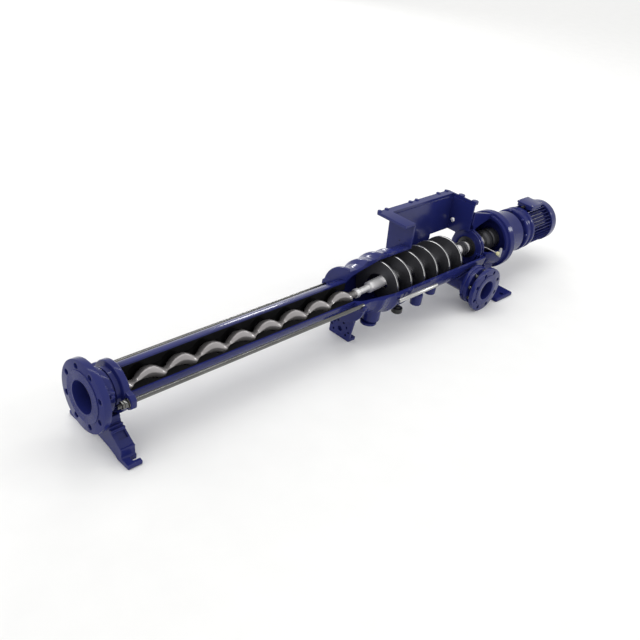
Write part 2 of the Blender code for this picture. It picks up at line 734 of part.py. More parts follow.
def lantern(paint):
    """Makes the bell housing between the seal housing and the gearbox, cut open, and its foot."""
    outer = [(LANTERN_START, 0.0), (LANTERN_START, 0.086), (1.840, 0.094), (1.900, 0.104),
             (LANTERN_RING_START, 0.112), (LANTERN_RING_START, LANTERN_RADIUS),
             (LANTERN_RING_END, LANTERN_RADIUS), (LANTERN_END, 0.112), (LANTERN_END, 0.0)]
    inner = [(LANTERN_START - 0.01, 0.0), (LANTERN_START - 0.01, 0.042), (1.828, 0.042),
             (1.830, 0.077), (1.860, 0.086), (1.950, 0.105), (LANTERN_END - 0.012, 0.102),
             (LANTERN_END - 0.012, 0.070), (LANTERN_END + 0.01, 0.070), (LANTERN_END + 0.01, 0.0)]
    gusset = [(0.080, 1.816), (0.108, 1.946), (0.119, 1.932), (0.154, 1.796), (0.100, 1.796)]
    solids = [lathe(outer, count=32)]
    solids.append(prism([(x, z) for z, x in gusset], 1, 0.0, 0.012))
    solids.append(prism([(1.816, -0.180), (1.934, -0.180), (1.934, -0.164), (1.905, -0.150),
                         (1.905, -0.070), (1.836, -0.060), (1.836, -0.164), (1.816, -0.164)], 1,
                        -0.080, 0.080))
    for side in (-1, 1):
        low, high = sorted((side * 0.060, side * FOOT_Y))
        solids.append(block((1.817, low, -0.180), (1.933, high, -0.164)))
    cuts = [lathe(inner, count=32), quarter(LANTERN_START - 0.05, LANTERN_RING_START - 0.010),
            block((1.850, -0.060, -0.19), (1.893, 0.060, -0.120))]
    for side in (-1, 1):
        cuts.append(rod((1.876, side * 0.172), 2, -0.19, -0.15, 0.009, 12))
    return shape("lantern", solids, paint, cuts)


def grease_pipe(paint):
    """Makes the thin grease pipe, which leaves the seal housing and turns towards the near side."""
    sides = 8
    corner = (GREASE_X, GREASE_Y, GREASE_Z)
    stations = [((LANTERN_START + GAP, GREASE_Y, GREASE_Z), (0.0, 1.0)),
                (corner, (1.0, 1.0)), ((GREASE_X, GREASE_END, GREASE_Z), (1.0, 0.0))]
    bm = bmesh.new()
    rings = []
    for point, lean in stations:
        ring = []
        for step in range(sides):
            angle = 2 * math.pi * step / sides
            across = GREASE_RADIUS * math.cos(angle)
            up = GREASE_RADIUS * math.sin(angle)
            ring.append(bm.verts.new((point[0] + across * lean[0], point[1] + across * lean[1],
                                      point[2] + up)))
        rings.append(ring)
    for first, second in zip(rings, rings[1:]):
        for step in range(sides):
            after = (step + 1) % sides
            bm.faces.new((first[step], first[after], second[after], second[step]))
    bm.faces.new(rings[0])
    bm.faces.new(rings[-1])
    return finish("grease_pipe", bm, paint)


def grease_knob(paint):
    """Makes the pale knob on the end of the grease pipe."""
    start = GREASE_END - GAP
    outline = [(start, 0.0), (start, 0.006), (start - 0.003, 0.0085), (start - 0.010, 0.0085),
               (start - 0.013, 0.005), (start - 0.013, 0.0)]
    bm = lathe(outline, count=12)
    bm.transform(Matrix.Translation((GREASE_X, 0, GREASE_Z))
                 @ Matrix.Rotation(math.radians(90), 4, "Z"))
    return finish("grease_knob", bm, paint)


def grease_cup(paint):
    """Makes the white grease cup that stands beside the bell housing."""
    solids = [rod((CUP_X, CUP_Y), 2, -0.020, 0.013, 0.0062, 12),
              rod((CUP_X, CUP_Y), 2, 0.0125, 0.018, 0.0048, 12)]
    return shape("grease_cup", solids, paint)


def hopper_plug(paint):
    """Makes the round plug in the hopper's rear wall."""
    wall = HOPPER_INNER_X[1] - GAP
    outline = [(wall, 0.0), (wall, 0.0095), (wall - 0.004, 0.0095), (wall - 0.007, 0.006),
               (wall - 0.007, 0.0)]
    return finish("hopper_plug", lathe(outline, count=16, centre=(0.084, 0.093)), paint)


def drive_shaft(paint):
    """Makes the shaft from the auger to the coupling."""
    outline = [(AUGER_END + SEAT, 0.0), (AUGER_END + SEAT, 0.031), (1.762, 0.031),
               (1.765, SHAFT_RADIUS), (1.905, SHAFT_RADIUS), (1.905, 0.0)]
    return finish("drive_shaft", lathe(outline, count=24), paint)


def coupling(paint):
    """Makes the shaft coupling inside the bell housing."""
    outline = [(1.890, SHAFT_RADIUS + GAP), (1.890, 0.038), (1.898, 0.045), (1.918, 0.045),
               (1.921, 0.040), (1.933, 0.040), (1.936, 0.045), (1.970, 0.045), (1.970, 0.0),
               (1.9055, 0.0), (1.9055, SHAFT_RADIUS + GAP)]
    return finish("coupling", lathe(outline, count=28), paint)


def gearbox(paint):
    """Makes the planetary gearbox."""
    outline = [(LANTERN_END - 0.010, 0.0), (LANTERN_END - 0.010, 0.0695), (LANTERN_END + SEAT, 0.0695),
               (LANTERN_END + SEAT, 0.104), (1.996, 0.104), (1.998, GEARBOX_RADIUS),
               (GEARBOX_END - 0.004, GEARBOX_RADIUS), (GEARBOX_END, GEARBOX_RADIUS - 0.004),
               (GEARBOX_END, 0.083), (MOTOR_FLANGE_START - GAP, 0.083),
               (MOTOR_FLANGE_START - GAP, 0.0)]
    return finish("gearbox", lathe(outline, count=32), paint)


def motor_flange(paint):
    """Makes the motor's flange and front shield."""
    outline = [(MOTOR_FLANGE_START, 0.0), (MOTOR_FLANGE_START, 0.090),
               (MOTOR_FLANGE_START + 0.004, 0.094), (MOTOR_FLANGE_START + 0.018, 0.094),
               (MOTOR_FLANGE_START + 0.022, 0.088), (MOTOR_FLANGE_END - 0.020, 0.088),
               (MOTOR_FLANGE_END - 0.016, 0.093), (MOTOR_FLANGE_END, 0.093),
               (MOTOR_FLANGE_END, 0.0)]
    return finish("motor_flange", lathe(outline, count=32), paint)


def motor_body(paint):
    """Makes the finned motor frame, as one star-shaped bar with raised fins."""
    fins = 28
    outline = []
    for fin in range(fins):
        middle = 360.0 * fin / fins
        for offset, radius in ((-2.2, 0.079), (-1.4, MOTOR_RADIUS), (1.4, MOTOR_RADIUS),
                               (2.2, 0.079)):
            side = direction(middle + offset)
            outline.append((radius * side[0], radius * side[1]))
    return finish("motor_body", prism(outline, 0, MOTOR_FLANGE_END + GAP, FAN_COVER_START - GAP),
                  paint, 30)


def fan_cover(paint):
    """Makes the fan cover, open at its grille."""
    outline = [(FAN_COVER_START, 0.0), (FAN_COVER_START, 0.091), (LENGTH - 0.012, 0.091),
               (LENGTH - 0.003, 0.086), (LENGTH, 0.078), (LENGTH, 0.0)]
    return finish("fan_cover", lathe(outline, count=32), paint)


def terminal_box(paint):
    """Makes the motor's terminal box and its lid."""
    solids = [block((2.196, -0.038, MOTOR_RADIUS + 0.0005), (2.276, 0.038, 0.103)),
              block((2.193, -0.041, 0.1025), (2.279, 0.041, 0.111))]
    return shape("terminal_box", solids, paint)


def cable_gland(paint):
    """Makes the gland on the terminal box."""
    return finish("cable_gland", rod((0.0, 0.0958), 0, 2.1755, 2.1955, 0.0056, 12), paint)


def main():
    clear_scene()
    blue = material("blue_paint", (0.020, 0.026, 0.160), 0.30)
    rubber = material("stator_rubber", (0.010, 0.010, 0.011), 0.55)
    steel = material("polished_steel", (0.55, 0.54, 0.54), 0.22, 1.0)
    dark_steel = material("auger_steel", (0.035, 0.036, 0.040), 0.35, 0.9)
    rod_steel = material("rod_steel", (0.23, 0.23, 0.24), 0.35, 0.9)
    black = material("black_plastic", (0.012, 0.012, 0.013), 0.45)
    yellow = material("pale_yellow", (0.62, 0.58, 0.30), 0.4)
    white = material("white_plastic", (0.75, 0.75, 0.72), 0.4)
    discharge_casting(blue)
    discharge_foot(blue)
    stator_clamp_ring(blue)
    stator_tube(blue)
    stator_lining(rubber)
    tie_rod("tie_rod_near", -1, rod_steel)
    tie_rod("tie_rod_far", 1, rod_steel)
    rotor(steel)
    coupling_rod(steel)
    auger(dark_steel)
    compression_housing(blue)
    screw_trough(blue)
    hopper(blue)
    hopper_flange(blue)
    port_spool(blue)
    middle_foot(blue)
    trough_bar(rod_steel)
    drain_stub(blue)
    drain_plug(black)
    grease_pipe(steel)
    grease_knob(yellow)
    grease_cup(white)
    hopper_plug(steel)
    seal_housing(blue)
    shaft_seal(black)
    lantern(blue)
    drive_shaft(steel)
    coupling(dark_steel)
    gearbox(blue)
    motor_flange(blue)
    motor_body(blue)
    fan_cover(blue)
    terminal_box(blue)
    cable_gland(black)


main()
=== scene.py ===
"""Looks of the progressing cavity pump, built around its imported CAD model.

All shapes are given in axis coordinates, as in the CAD source: x from the discharge flange's face
along the pump, y across it, z up from its axis, in metres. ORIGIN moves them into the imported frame.
"""
import math

import bmesh
import bpy
from mathutils import Matrix, Vector


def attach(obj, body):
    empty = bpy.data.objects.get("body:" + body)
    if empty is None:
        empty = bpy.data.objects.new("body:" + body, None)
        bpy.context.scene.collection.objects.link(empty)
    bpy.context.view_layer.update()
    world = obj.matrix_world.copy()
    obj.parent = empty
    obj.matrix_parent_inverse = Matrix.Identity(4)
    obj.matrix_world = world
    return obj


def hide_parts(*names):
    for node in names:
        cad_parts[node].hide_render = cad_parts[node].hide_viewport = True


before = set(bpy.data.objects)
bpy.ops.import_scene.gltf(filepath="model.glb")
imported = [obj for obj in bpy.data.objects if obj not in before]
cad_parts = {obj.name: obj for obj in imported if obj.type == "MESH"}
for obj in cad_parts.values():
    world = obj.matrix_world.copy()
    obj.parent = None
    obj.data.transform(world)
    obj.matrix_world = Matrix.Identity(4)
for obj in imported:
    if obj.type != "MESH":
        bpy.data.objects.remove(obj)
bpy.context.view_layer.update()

ORIGIN = Vector((-1.186, 0.0, 0.180))
MATERIALS = {}

# Sizes shared with the CAD source
GAP = 0.0003
ORBIT_ANGLE = 210.0
ROTOR_PHASE = 92.0
HAND = -1
ECCENTRICITY = 0.012
ROTOR_PITCH = 0.115
ROTOR_RADIUS = 0.020
ROTOR_START = 0.080
ROTOR_TURNS = 8.5
CAVITY_RADIUS = ROTOR_RADIUS + 0.0014
TUBE_BORE = 0.0508
TUBE_RADIUS = 0.0572
TUBE_START = 0.0665
TUBE_END = 1.054
LINING_END = 1.0462
CUT_START = 0.107
ROD_OFFSET = 0.090
AUGER_PITCH = 0.079
AUGER_PHASE = 147.0
AUGER_HAND = -1
AUGER_RADIUS = 0.085
LINK_START = 1.1005
LINK_PIVOT = 1.300
PORT = (1.708, -0.088)
DRAIN = (1.156, -0.056)
FLOOR = -0.180
BOLT_PITCH = 0.0014
THREAD_PITCH = 0.00175
THREAD_DEPTH = 0.0009

# A corner flatter than this stays as it is when an outline is rounded
STRAIGHT = math.radians(172)

# The camera as fitted to the photograph, in metres, degrees and millimetres
EYE = (-2.13476, -1.59451, 1.60863)
YAW, PITCH, ROLL = 40.16, 31.22, 9.28
LENS, SENSOR = 46.24, 36.0
SUN_AIM = (0.75, -0.55, -1.0)


# --------outlines

def direction(angle):
    """Gives (y, z) of a unit step at an angle in degrees from up towards +Y."""
    return math.sin(math.radians(angle)), math.cos(math.radians(angle))


def circle(count, radius, first, centre=(0.0, 0.0)):
    """Gives evenly spaced places on a circle, from an angle on."""
    sides = [direction(first + 360.0 / count * step) for step in range(count)]
    return [(centre[0] + radius * y, centre[1] + radius * z) for y, z in sides]


def mirrored(outline, side):
    """Gives an outline for side 1, or its mirror image for side -1."""
    return [(side * y, z) for y, z in outline]


# The rotor's own axis, off the pump's axis, on which the front end of the link sits
ROTOR_AXIS = tuple(ECCENTRICITY * part for part in direction(ORBIT_ANGLE))


def rounded(outline, size, steps):
    """Rounds the corners of an outline. A point may give its own size as a third number."""
    count = len(outline)
    points = []
    for index, point in enumerate(outline):
        here = Vector(point[:2])
        reach = point[2] if len(point) > 2 else size
        before = Vector(outline[index - 1][:2]) - here
        after = Vector(outline[(index + 1) % count][:2]) - here
        sharp = reach < 1e-6 or before.length < 1e-9 or after.length < 1e-9
        if sharp or before.angle(after) > STRAIGHT:
            points.append(tuple(here))
            continue
        turn = before.angle(after)
        cut = min(reach / math.tan(turn / 2), before.length * 0.48, after.length * 0.48)
        start = here + before.normalized() * cut
        end = here + after.normalized() * cut
        for step in range(steps + 1):
            share = step / steps
            points.append(tuple(start * (1 - share) ** 2 + here * 2 * share * (1 - share)
                                + end * share ** 2))
    return points


def arc(centre, radius, start, end, steps):
    """Gives points on an arc, with angles in degrees from the first axis towards the second."""
    points = []
    for step in range(steps + 1):
        angle = math.radians(start + (end - start) * step / steps)
        points.append((centre[0] + radius * math.cos(angle), centre[1] + radius * math.sin(angle)))
    return points


# --------solids as bmeshes

def skin(bm, rings, closed=False):
    """Joins rings of points, and caps the two ends or joins the last ring to the first."""
    faces = []
    for first, second in zip(rings, rings[1:] + rings[:1] if closed else rings[1:]):
        for index in range(len(first)):
            after = (index + 1) % len(first)
            corners = list(dict.fromkeys([first[index], first[after], second[after],
                                          second[index]]))
            if len(corners) > 2:
                faces.append(bm.faces.new(corners))
    if not closed:
        bm.faces.new(rings[0])
        bm.faces.new(rings[-1])
    return faces


def lathe(profile, count, centre=(0.0, 0.0), size=0.0008, steps=2):
    """Turns a closed outline of (x, radius) about the axis, with its corners rounded."""
    profile = rounded(profile, size, steps) if size else [p[:2] for p in profile]
    profile = [(x, max(radius, 0.0)) for x, radius in profile]
    bm = bmesh.new()
    rings = []
    for step in range(count):
        side = direction(360.0 * step / count)
        ring = []
        for index, (x, radius) in enumerate(profile):
            if radius < 1e-7 and rings:
                ring.append(rings[0][index])
            else:
                ring.append(bm.verts.new((x, centre[0] + radius * side[0],
                                          centre[1] + radius * side[1])))
        rings.append(ring)
    skin(bm, rings, closed=True)
    return bm


def turned(bm, place, axis):
    """Lays a lathe made about X along another axis ("X", "Y", "Z", "-X" or "-Y")."""
    angle, about = {"X": (0, "Z"), "Y": (90, "Z"), "Z": (-90, "Y"), "-X": (180, "Z"),
                    "-Y": (-90, "Z")}[axis]
    spin = Matrix.Rotation(math.radians(angle), 4, about)
    bm.transform(Matrix.Translation(Vector(place)) @ spin)
    return bm


def prism(outline, axis, start, end, edge=0.0, steps=2):
    """Extrudes an outline along X, Y or Z, with its two rims rounded off by edge."""
    levels = [(start, 0.0), (end, 0.0)]
    if edge:
        low, high = min(start, end), max(start, end)
        levels = []
        for step in range(steps + 1):
            turn = math.radians(90 * step / steps)
            levels.append((low + edge * (1 - math.sin(turn)), edge * (1 - math.cos(turn))))
        levels = levels[::-1]
        levels += [(high + low - level, inset) for level, inset in levels[::-1]]
    count = len(outline)
    area = sum(outline[i][0] * outline[(i + 1) % count][1]
               - outline[(i + 1) % count][0] * outline[i][1] for i in range(count))
    sign = 1.0 if area > 0 else -1.0
    inward = []
    for index in range(count):
        here = Vector(outline[index])
        first = (here - Vector(outline[index - 1])).normalized()
        second = (Vector(outline[(index + 1) % count]) - here).normalized()
        normal = Vector((-(first.y + second.y), first.x + second.x)) * sign
        if normal.length < 1e-6:
            normal = Vector((-first.y, first.x)) * sign
        normal.normalize()
        slant = max(0.5, normal.dot(Vector((-first.y, first.x)) * sign))
        inward.append(normal / slant)
    bm = bmesh.new()
    rings = []
    for level, inset in levels:
        ring = []
        for index, pair in enumerate(outline):
            moved = Vector(pair) + inward[index] * inset
            point = [moved.x, moved.y]
            point.insert(axis, level)
            ring.append(bm.verts.new(point))
        rings.append(ring)
    skin(bm, rings)
    return bm


def block(low, high, edge, corner=None):
    """Makes a box with rounded edges."""
    low, high = [min(a, b) for a, b in zip(low, high)], [max(a, b) for a, b in zip(low, high)]
    outline = [(low[0], low[1]), (high[0], low[1]), (high[0], high[1]), (low[0], high[1])]
    corner = edge * 1.6 if corner is None else corner
    return prism(rounded(outline, corner, 3), 2, low[2], high[2], edge)


def rod(centre, axis, start, end, radius, sides, edge=0.0):
    """Makes a round bar along X, Y or Z."""
    outline = []
    for step in range(sides):
        angle = 2 * math.pi * (step + 0.2) / sides
        outline.append((centre[0] + radius * math.cos(angle), centre[1] + radius * math.sin(angle)))
    return prism(outline, axis, start, end, edge)


def swept(path, radius, sides):
    """Sweeps a round tube along a path of points, with closed ends."""
    bm = bmesh.new()
    rings = []
    side = None
    for index, point in enumerate(path):
        ahead = (path[min(index + 1, len(path) - 1)] - path[max(index - 1, 0)]).normalized()
        if side is None:
            side = ahead.orthogonal().normalized()
        side = (side - ahead * side.dot(ahead)).normalized()
        up = ahead.cross(side)
        ring = []
        for step in range(sides):
            angle = 2 * math.pi * step / sides
            ring.append(bm.verts.new(point + (side * math.cos(angle) + up * math.sin(angle))
                                     * radius))
        rings.append(ring)
    skin(bm, rings)
    return bm


def mesh_from(bm, name):
    """Turns a bmesh into a mesh and frees it."""
    mesh = bpy.data.meshes.new(name)
    bm.to_mesh(mesh)
    bm.free()
    return mesh


def placed(name, data):
    """Puts a mesh, camera or lamp into the scene."""
    thing = bpy.data.objects.new(name, data)
    bpy.context.scene.collection.objects.link(thing)
    return thing


def merged(bms):
    """Puts several bmeshes into one, without joining them."""
    whole = bmesh.new()
    for bm in bms:
        mesh = mesh_from(bm, "part")
        whole.from_mesh(mesh)
        bpy.data.meshes.remove(mesh)
    return whole


# --------fasteners

def hexagon(size, turn):
    """Gives the outline of a hexagon of this size across its flats."""
    reach = size / math.sqrt(3)
    return [(reach * math.cos(math.radians(60 * k + turn)),
             reach * math.sin(math.radians(60 * k + turn))) for k in range(6)]


def nut(place, axis, size, height, turn, washer=0.0, bolt=0.0):
    """Makes a nut or bolt head that stands on a place, with a washer and a bolt end."""
    outline = hexagon(size, turn)
    parts = [prism(rounded(outline, size * 0.03, 1), 0, washer, washer + height, size * 0.05, 2)]
    if washer:
        parts.append(rod((0.0, 0.0), 0, 0.0, washer, size * 0.60, 20, washer * 0.25))
    if bolt:
        end = washer + height + bolt
        crest, root = size * 0.31, size * 0.28
        profile = [(washer, 0.0), (washer, crest)]
        x = washer + height * 0.9
        while x < end - BOLT_PITCH:
            profile += [(x, crest), (x + BOLT_PITCH / 2, root)]
            x += BOLT_PITCH
        profile += [(end - 0.0005, root), (end, root * 0.85), (end, 0.0)]
        parts.append(lathe(profile, count=16, size=0))
    return turned(merged(parts), place, axis)


# --------pieces

def made(name, bm, look, body="casing", smooth=35.0, nodes=()):
    """Makes a piece from a bmesh, gives it its material and puts it on its body."""
    bmesh.ops.remove_doubles(bm, verts=bm.verts, dist=1e-7)
    bmesh.ops.recalc_face_normals(bm, faces=bm.faces)
    mesh = mesh_from(bm, name)
    mesh.transform(Matrix.Translation(ORIGIN))
    piece = placed(name, mesh)
    mesh.materials.append(MATERIALS[look])
    shade(piece, smooth)
    if body:
        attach(piece, body)
    if nodes:
        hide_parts(*nodes)
    return piece


def shade(piece, smooth):
    """Shades a piece smoothly up to an angle."""
    piece.data.shade_smooth()
    piece.data.set_sharp_from_angle(angle=math.radians(smooth))


def helper(bm):
    """Makes the object that a boolean joins or cuts with."""
    bmesh.ops.recalc_face_normals(bm, faces=bm.faces)
    mesh = mesh_from(bm, "tool")
    mesh.transform(Matrix.Translation(ORIGIN))
    return placed("tool", mesh)


def bake(piece):
    """Applies a piece's modifiers."""
    view = bpy.context.evaluated_depsgraph_get()
    mesh = bpy.data.meshes.new_from_object(piece.evaluated_get(view))
    piece.modifiers.clear()
    old = piece.data
    piece.data = mesh
    bpy.data.meshes.remove(old)


def change(piece, tools, operation):
    """Joins tools to a piece or cuts them from it."""
    for bm in tools:
        tool = helper(bm)
        step = piece.modifiers.new("step", "BOOLEAN")
        step.operation = operation
        step.solver = "EXACT"
        step.object = tool
        bake(piece)
        bpy.data.objects.remove(tool, do_unlink=True)


def cast(name, solids, cuts, look, nodes, melt=None, add=()):
    """Makes a cast piece: solids with soft fillets, then joined to add and machined by cuts.

    Melt gives the grid size, the smoothing passes and the share of faces kept for the fillets.
    """
    piece = made(name, merged(solids), look, None)
    if melt:
        voxel, passes, keep = melt
        whole = piece.modifiers.new("melt", "REMESH")
        whole.mode = "VOXEL"
        whole.voxel_size = voxel
        even =piece.modifiers.new("even", "SMOOTH")
        even.factor = 0.5
        even.iterations = passes
        fewer = piece.modifiers.new("fewer", "DECIMATE")
        fewer.ratio = keep
        bake(piece)
    change(piece, add, "UNION")
    change(piece, cuts, "DIFFERENCE")
    if not piece.data.materials:
        piece.data.materials.append(MATERIALS[look])
    shade(piece, 32.0)
    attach(piece, "casing")
    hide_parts(*nodes)
    return piece


# --------materials

def noise(nodes, links, where, scale, detail):
    """Adds a noise texture that stays with the object."""
    cloud = nodes.new("ShaderNodeTexNoise")
    cloud.inputs["Scale"].default_value = scale
    cloud.inputs["Detail"].default_value = detail
    links.new(where.outputs["Object"], cloud.inputs["Vector"])
    return cloud.outputs["Fac"]


def blended(nodes, links, share, paint, other):
    """Mixes a fixed colour into a paint by a share."""
    mixed = nodes.new("ShaderNodeMix")
    mixed.data_type = "RGBA"
    links.new(share, mixed.inputs["Factor"])
    links.new(paint, mixed.inputs["A"])
    mixed.inputs["B"].default_value = (*other, 1.0)
    return mixed.outputs["Result"]


def combined(nodes, links, operation, first, second):
    """Adds or multiplies two values."""
    both = nodes.new("ShaderNodeMath")
    both.operation = operation
    links.new(first, both.inputs[0])
    links.new(second, both.inputs[1])
    return both.outputs["Value"]


def wave(nodes, links, vector, kind, scale, distortion):
    """Adds a wave texture along X ("BANDS") or round X ("RINGS")."""
    marks = nodes.new("ShaderNodeTexWave")
    marks.wave_type = kind
    marks.bands_direction = marks.rings_direction = "X"
    marks.inputs["Scale"].default_value = scale
    marks.inputs["Distortion"].default_value = distortion
    marks.inputs["Detail"].default_value = 2.0
    links.new(vector, marks.inputs["Vector"])
    return marks.outputs["Fac"]


def turned_rings(nodes, links, where, paint, light):
    """Lays fine rings round the pump's axis over a colour, as a lathe leaves them."""
    shift = nodes.new("ShaderNodeMapping")
    shift.inputs["Location"].default_value = (0.0, 0.0, -ORIGIN[2])
    links.new(where.outputs["Object"], shift.inputs["Vector"])
    marks = wave(nodes, links, shift.outputs["Vector"], "RINGS", 95.0, 1.2)
    return blended(nodes, links, marks, paint, light)


def surface(name, colour, roughness, vary, bump, metallic=0.0, coat=0.0, grain=900.0, edge_highlight=None,
            rings=0.0, rough_vary=0.08, coat_rough=0.08, specular=0.5, turning=None):
    """Makes a procedural finish with cloudy colour, fine grain, edges lightened as a painted
    highlight and turning marks.
    """
    look = bpy.data.materials.new(name)
    look.use_nodes = True
    nodes, links = look.node_tree.nodes, look.node_tree.links
    shader = nodes["Principled BSDF"]
    shader.inputs["Metallic"].default_value = metallic
    shader.inputs["Specular IOR Level"].default_value = specular
    shader.inputs["Coat Weight"].default_value = coat
    shader.inputs["Coat Roughness"].default_value = coat_rough
    look.diffuse_color = (*colour, 1.0)
    where = nodes.new("ShaderNodeTexCoord")
    tint = nodes.new("ShaderNodeValToRGB")
    tint.color_ramp.elements[0].position = 0.3
    tint.color_ramp.elements[0].color = (*[c * (1 - vary) for c in colour], 1.0)
    tint.color_ramp.elements[1].position = 0.7
    tint.color_ramp.elements[1].color = (*[min(1.0, c * (1 + vary)) for c in colour], 1.0)
    links.new(noise(nodes, links, where, 9.0, 6.0), tint.inputs["Fac"])
    paint = tint.outputs["Color"]
    if turning:
        paint = turned_rings(nodes, links, where, paint, turning)
    # Convex edges are mixed towards a lighter colour: a painted highlight along the edges
    if edge_highlight:
        shape = nodes.new("ShaderNodeNewGeometry")
        edge = nodes.new("ShaderNodeMapRange")
        edge.inputs["From Min"].default_value = 0.56
        edge.inputs["From Max"].default_value = 0.64
        links.new(shape.outputs["Pointiness"], edge.inputs["Value"])
        share = combined(nodes, links, "MULTIPLY", edge.outputs["Result"],
                         noise(nodes, links, where, 60.0, 5.0))
        paint = blended(nodes, links, share, paint, edge_highlight)
    links.new(paint, shader.inputs["Base Color"])
    dull = nodes.new("ShaderNodeMapRange")
    dull.inputs["To Min"].default_value = max(0.02, roughness - rough_vary)
    dull.inputs["To Max"].default_value = roughness + rough_vary
    links.new(noise(nodes, links, where, 35.0, 4.0), dull.inputs["Value"])
    links.new(dull.outputs["Result"], shader.inputs["Roughness"])
    height = noise(nodes, links, where, grain, 3.0)
    if rings:
        marks = wave(nodes, links, where.outputs["Object"], "BANDS", rings, 0.6)
        height = combined(nodes, links, "ADD", height, marks)
    relief = nodes.new("ShaderNodeBump")
    relief.inputs["Strength"].default_value = bump
    relief.inputs["Distance"].default_value = 0.001
    links.new(height, relief.inputs["Height"])
    links.new(relief.outputs["Normal"], shader.inputs["Normal"])
    MATERIALS[name] = look


def make_materials():
    """Makes every finish."""
    surface("navy_paint", (0.0145, 0.019, 0.118), 0.17, coat=0.07, vary=0.10, bump=0.02,
            grain=500.0, specular=0.22, coat_rough=0.04)
    # A darker, less glossy copy of the navy paint as painted shade: it goes on faces turned towards
    # -X and on the bell housing, gearbox and motor
    surface("shaded_paint", (0.013, 0.017, 0.112), 0.17, coat=0.03, vary=0.10, bump=0.02,
            grain=500.0, specular=0.10, coat_rough=0.03)
    surface("lining_rubber", (0.0015, 0.0015, 0.0020), 0.60, vary=0.3, bump=0.06, grain=500.0,
            specular=0.10)
    surface("rod_steel_finish", (0.15, 0.15, 0.145), 0.15, metallic=1.0, vary=0.15, rings=250.0,
            bump=0.02)
    surface("chrome", (0.40, 0.38, 0.38), 0.20, metallic=0.62, vary=0.06, rings=180.0, bump=0.02,
            rough_vary=0.05)
    surface("brushed_steel", (0.93, 0.92, 0.92), 0.30, metallic=0.30, vary=0.06, rings=220.0,
            bump=0.03)
    surface("screw_steel", (0.056, 0.056, 0.064), 0.40, metallic=0.5, vary=0.25, bump=0.04,
            turning=(0.11, 0.11, 0.118))
    # Bright steel, far lighter than the flights' own steel: a painted highlight on the flights' rims
    # and painted glints on the hub
    surface("highlight_steel", (0.80, 0.80, 0.80), 0.26, metallic=1.0, vary=0.12, bump=0.04)
    # Its convex edges are lightened as a painted highlight
    surface("zinc_steel", (0.50, 0.50, 0.49), 0.28, metallic=1.0, vary=0.18, bump=0.03,
            edge_highlight=(0.7, 0.7, 0.7))
    # Its convex edges are lightened as a painted highlight
    surface("black_finish", (0.011, 0.011, 0.012), 0.40, vary=0.25, bump=0.06,
            edge_highlight=(0.05, 0.05, 0.05))
    surface("yellow_finish", (0.62, 0.58, 0.33), 0.35, coat=0.3, vary=0.08, bump=0.03)
    surface("white_finish", (0.42, 0.42, 0.42), 0.35, coat=0.3, vary=0.05, bump=0.03)
    surface("floor_finish", (0.86, 0.86, 0.85), 0.85, vary=0.01, bump=0.0)


# --------discharge end

def quarter(start, end):
    """Gives the block that takes the near upper quarter away."""
    return block((start, -0.5, 0.0), (end, 0.0, 0.5), 0)


def discharge_end():
    """Makes the discharge flange with its neck, its gauge pads and their plugs."""
    face = [(0.0, 0.0500), (0.0, 0.0520)]
    reach = 0.0545
    while reach < 0.0770:
        face += [(0.0, reach, 0), (0.0003, reach + 0.0005, 0), (0.0, reach + 0.0010, 0)]
        reach += 0.0022
    profile = face + [(0.0, 0.0790, 0.0006), (0.0030, 0.0790, 0.001), (0.0030, 0.1100, 0.0015),
                      (0.0250, 0.1100, 0.0015), (0.0250, 0.0720, 0.0050), (0.0300, 0.0660, 0.002),
                      (0.0390, 0.0700, 0.003), (0.0430, 0.0710, 0.001), (0.0590, 0.0710, 0.0015),
                      (0.0590, 0.0620), (0.0661, 0.0620), (0.0661, 0.0500)]
    cuts = []
    for spot in circle(8, 0.090, 22.5):
        cuts.append(rod(spot, 0, -0.01, 0.037, 0.0090, 32))
        for sink in ([(0.0028, 0.0), (0.0028, 0.0102), (0.0042, 0.0088), (0.0042, 0.0)],
                     [(0.0238, 0.0), (0.0238, 0.0165), (0.0290, 0.0165), (0.0290, 0.0)]):
            cuts.append(turned(lathe(sink, count=32, size=0), (0, *spot), "X"))
    pads = [block((0.0205, -0.0775, 0.0145), (0.0365, -0.055, 0.0435), 0.002),
            block((0.0360, -0.0735, 0.0165), (0.0583, -0.055, 0.0395), 0.002)]
    body = cast("discharge_body", [lathe(profile, count=144, size=0.0004)], cuts, "navy_paint",
                nodes=["discharge_casting"], add=pads)
    # Faces turned towards -X take the darker, less glossy copy of the paint: painted shade on that
    # side
    body.data.materials.append(MATERIALS["shaded_paint"])
    for face in body.data.polygons:
        if face.normal.x < -0.9:
            face.material_index = 1
    plugs = []
    for x, y in ((0.0285, -0.0777), (0.0470, -0.0737)):
        plugs.append(nut((x, y, 0.028), "-Y", 0.012, 0.006, 15))
        plugs.append(turned(rod((0, 0), 0, -0.002, 0.0016, 0.0078, 24, 0.0004), (x, y, 0.028),
                            "-Y"))
    made("gauge_plugs", merged(plugs), "navy_paint")


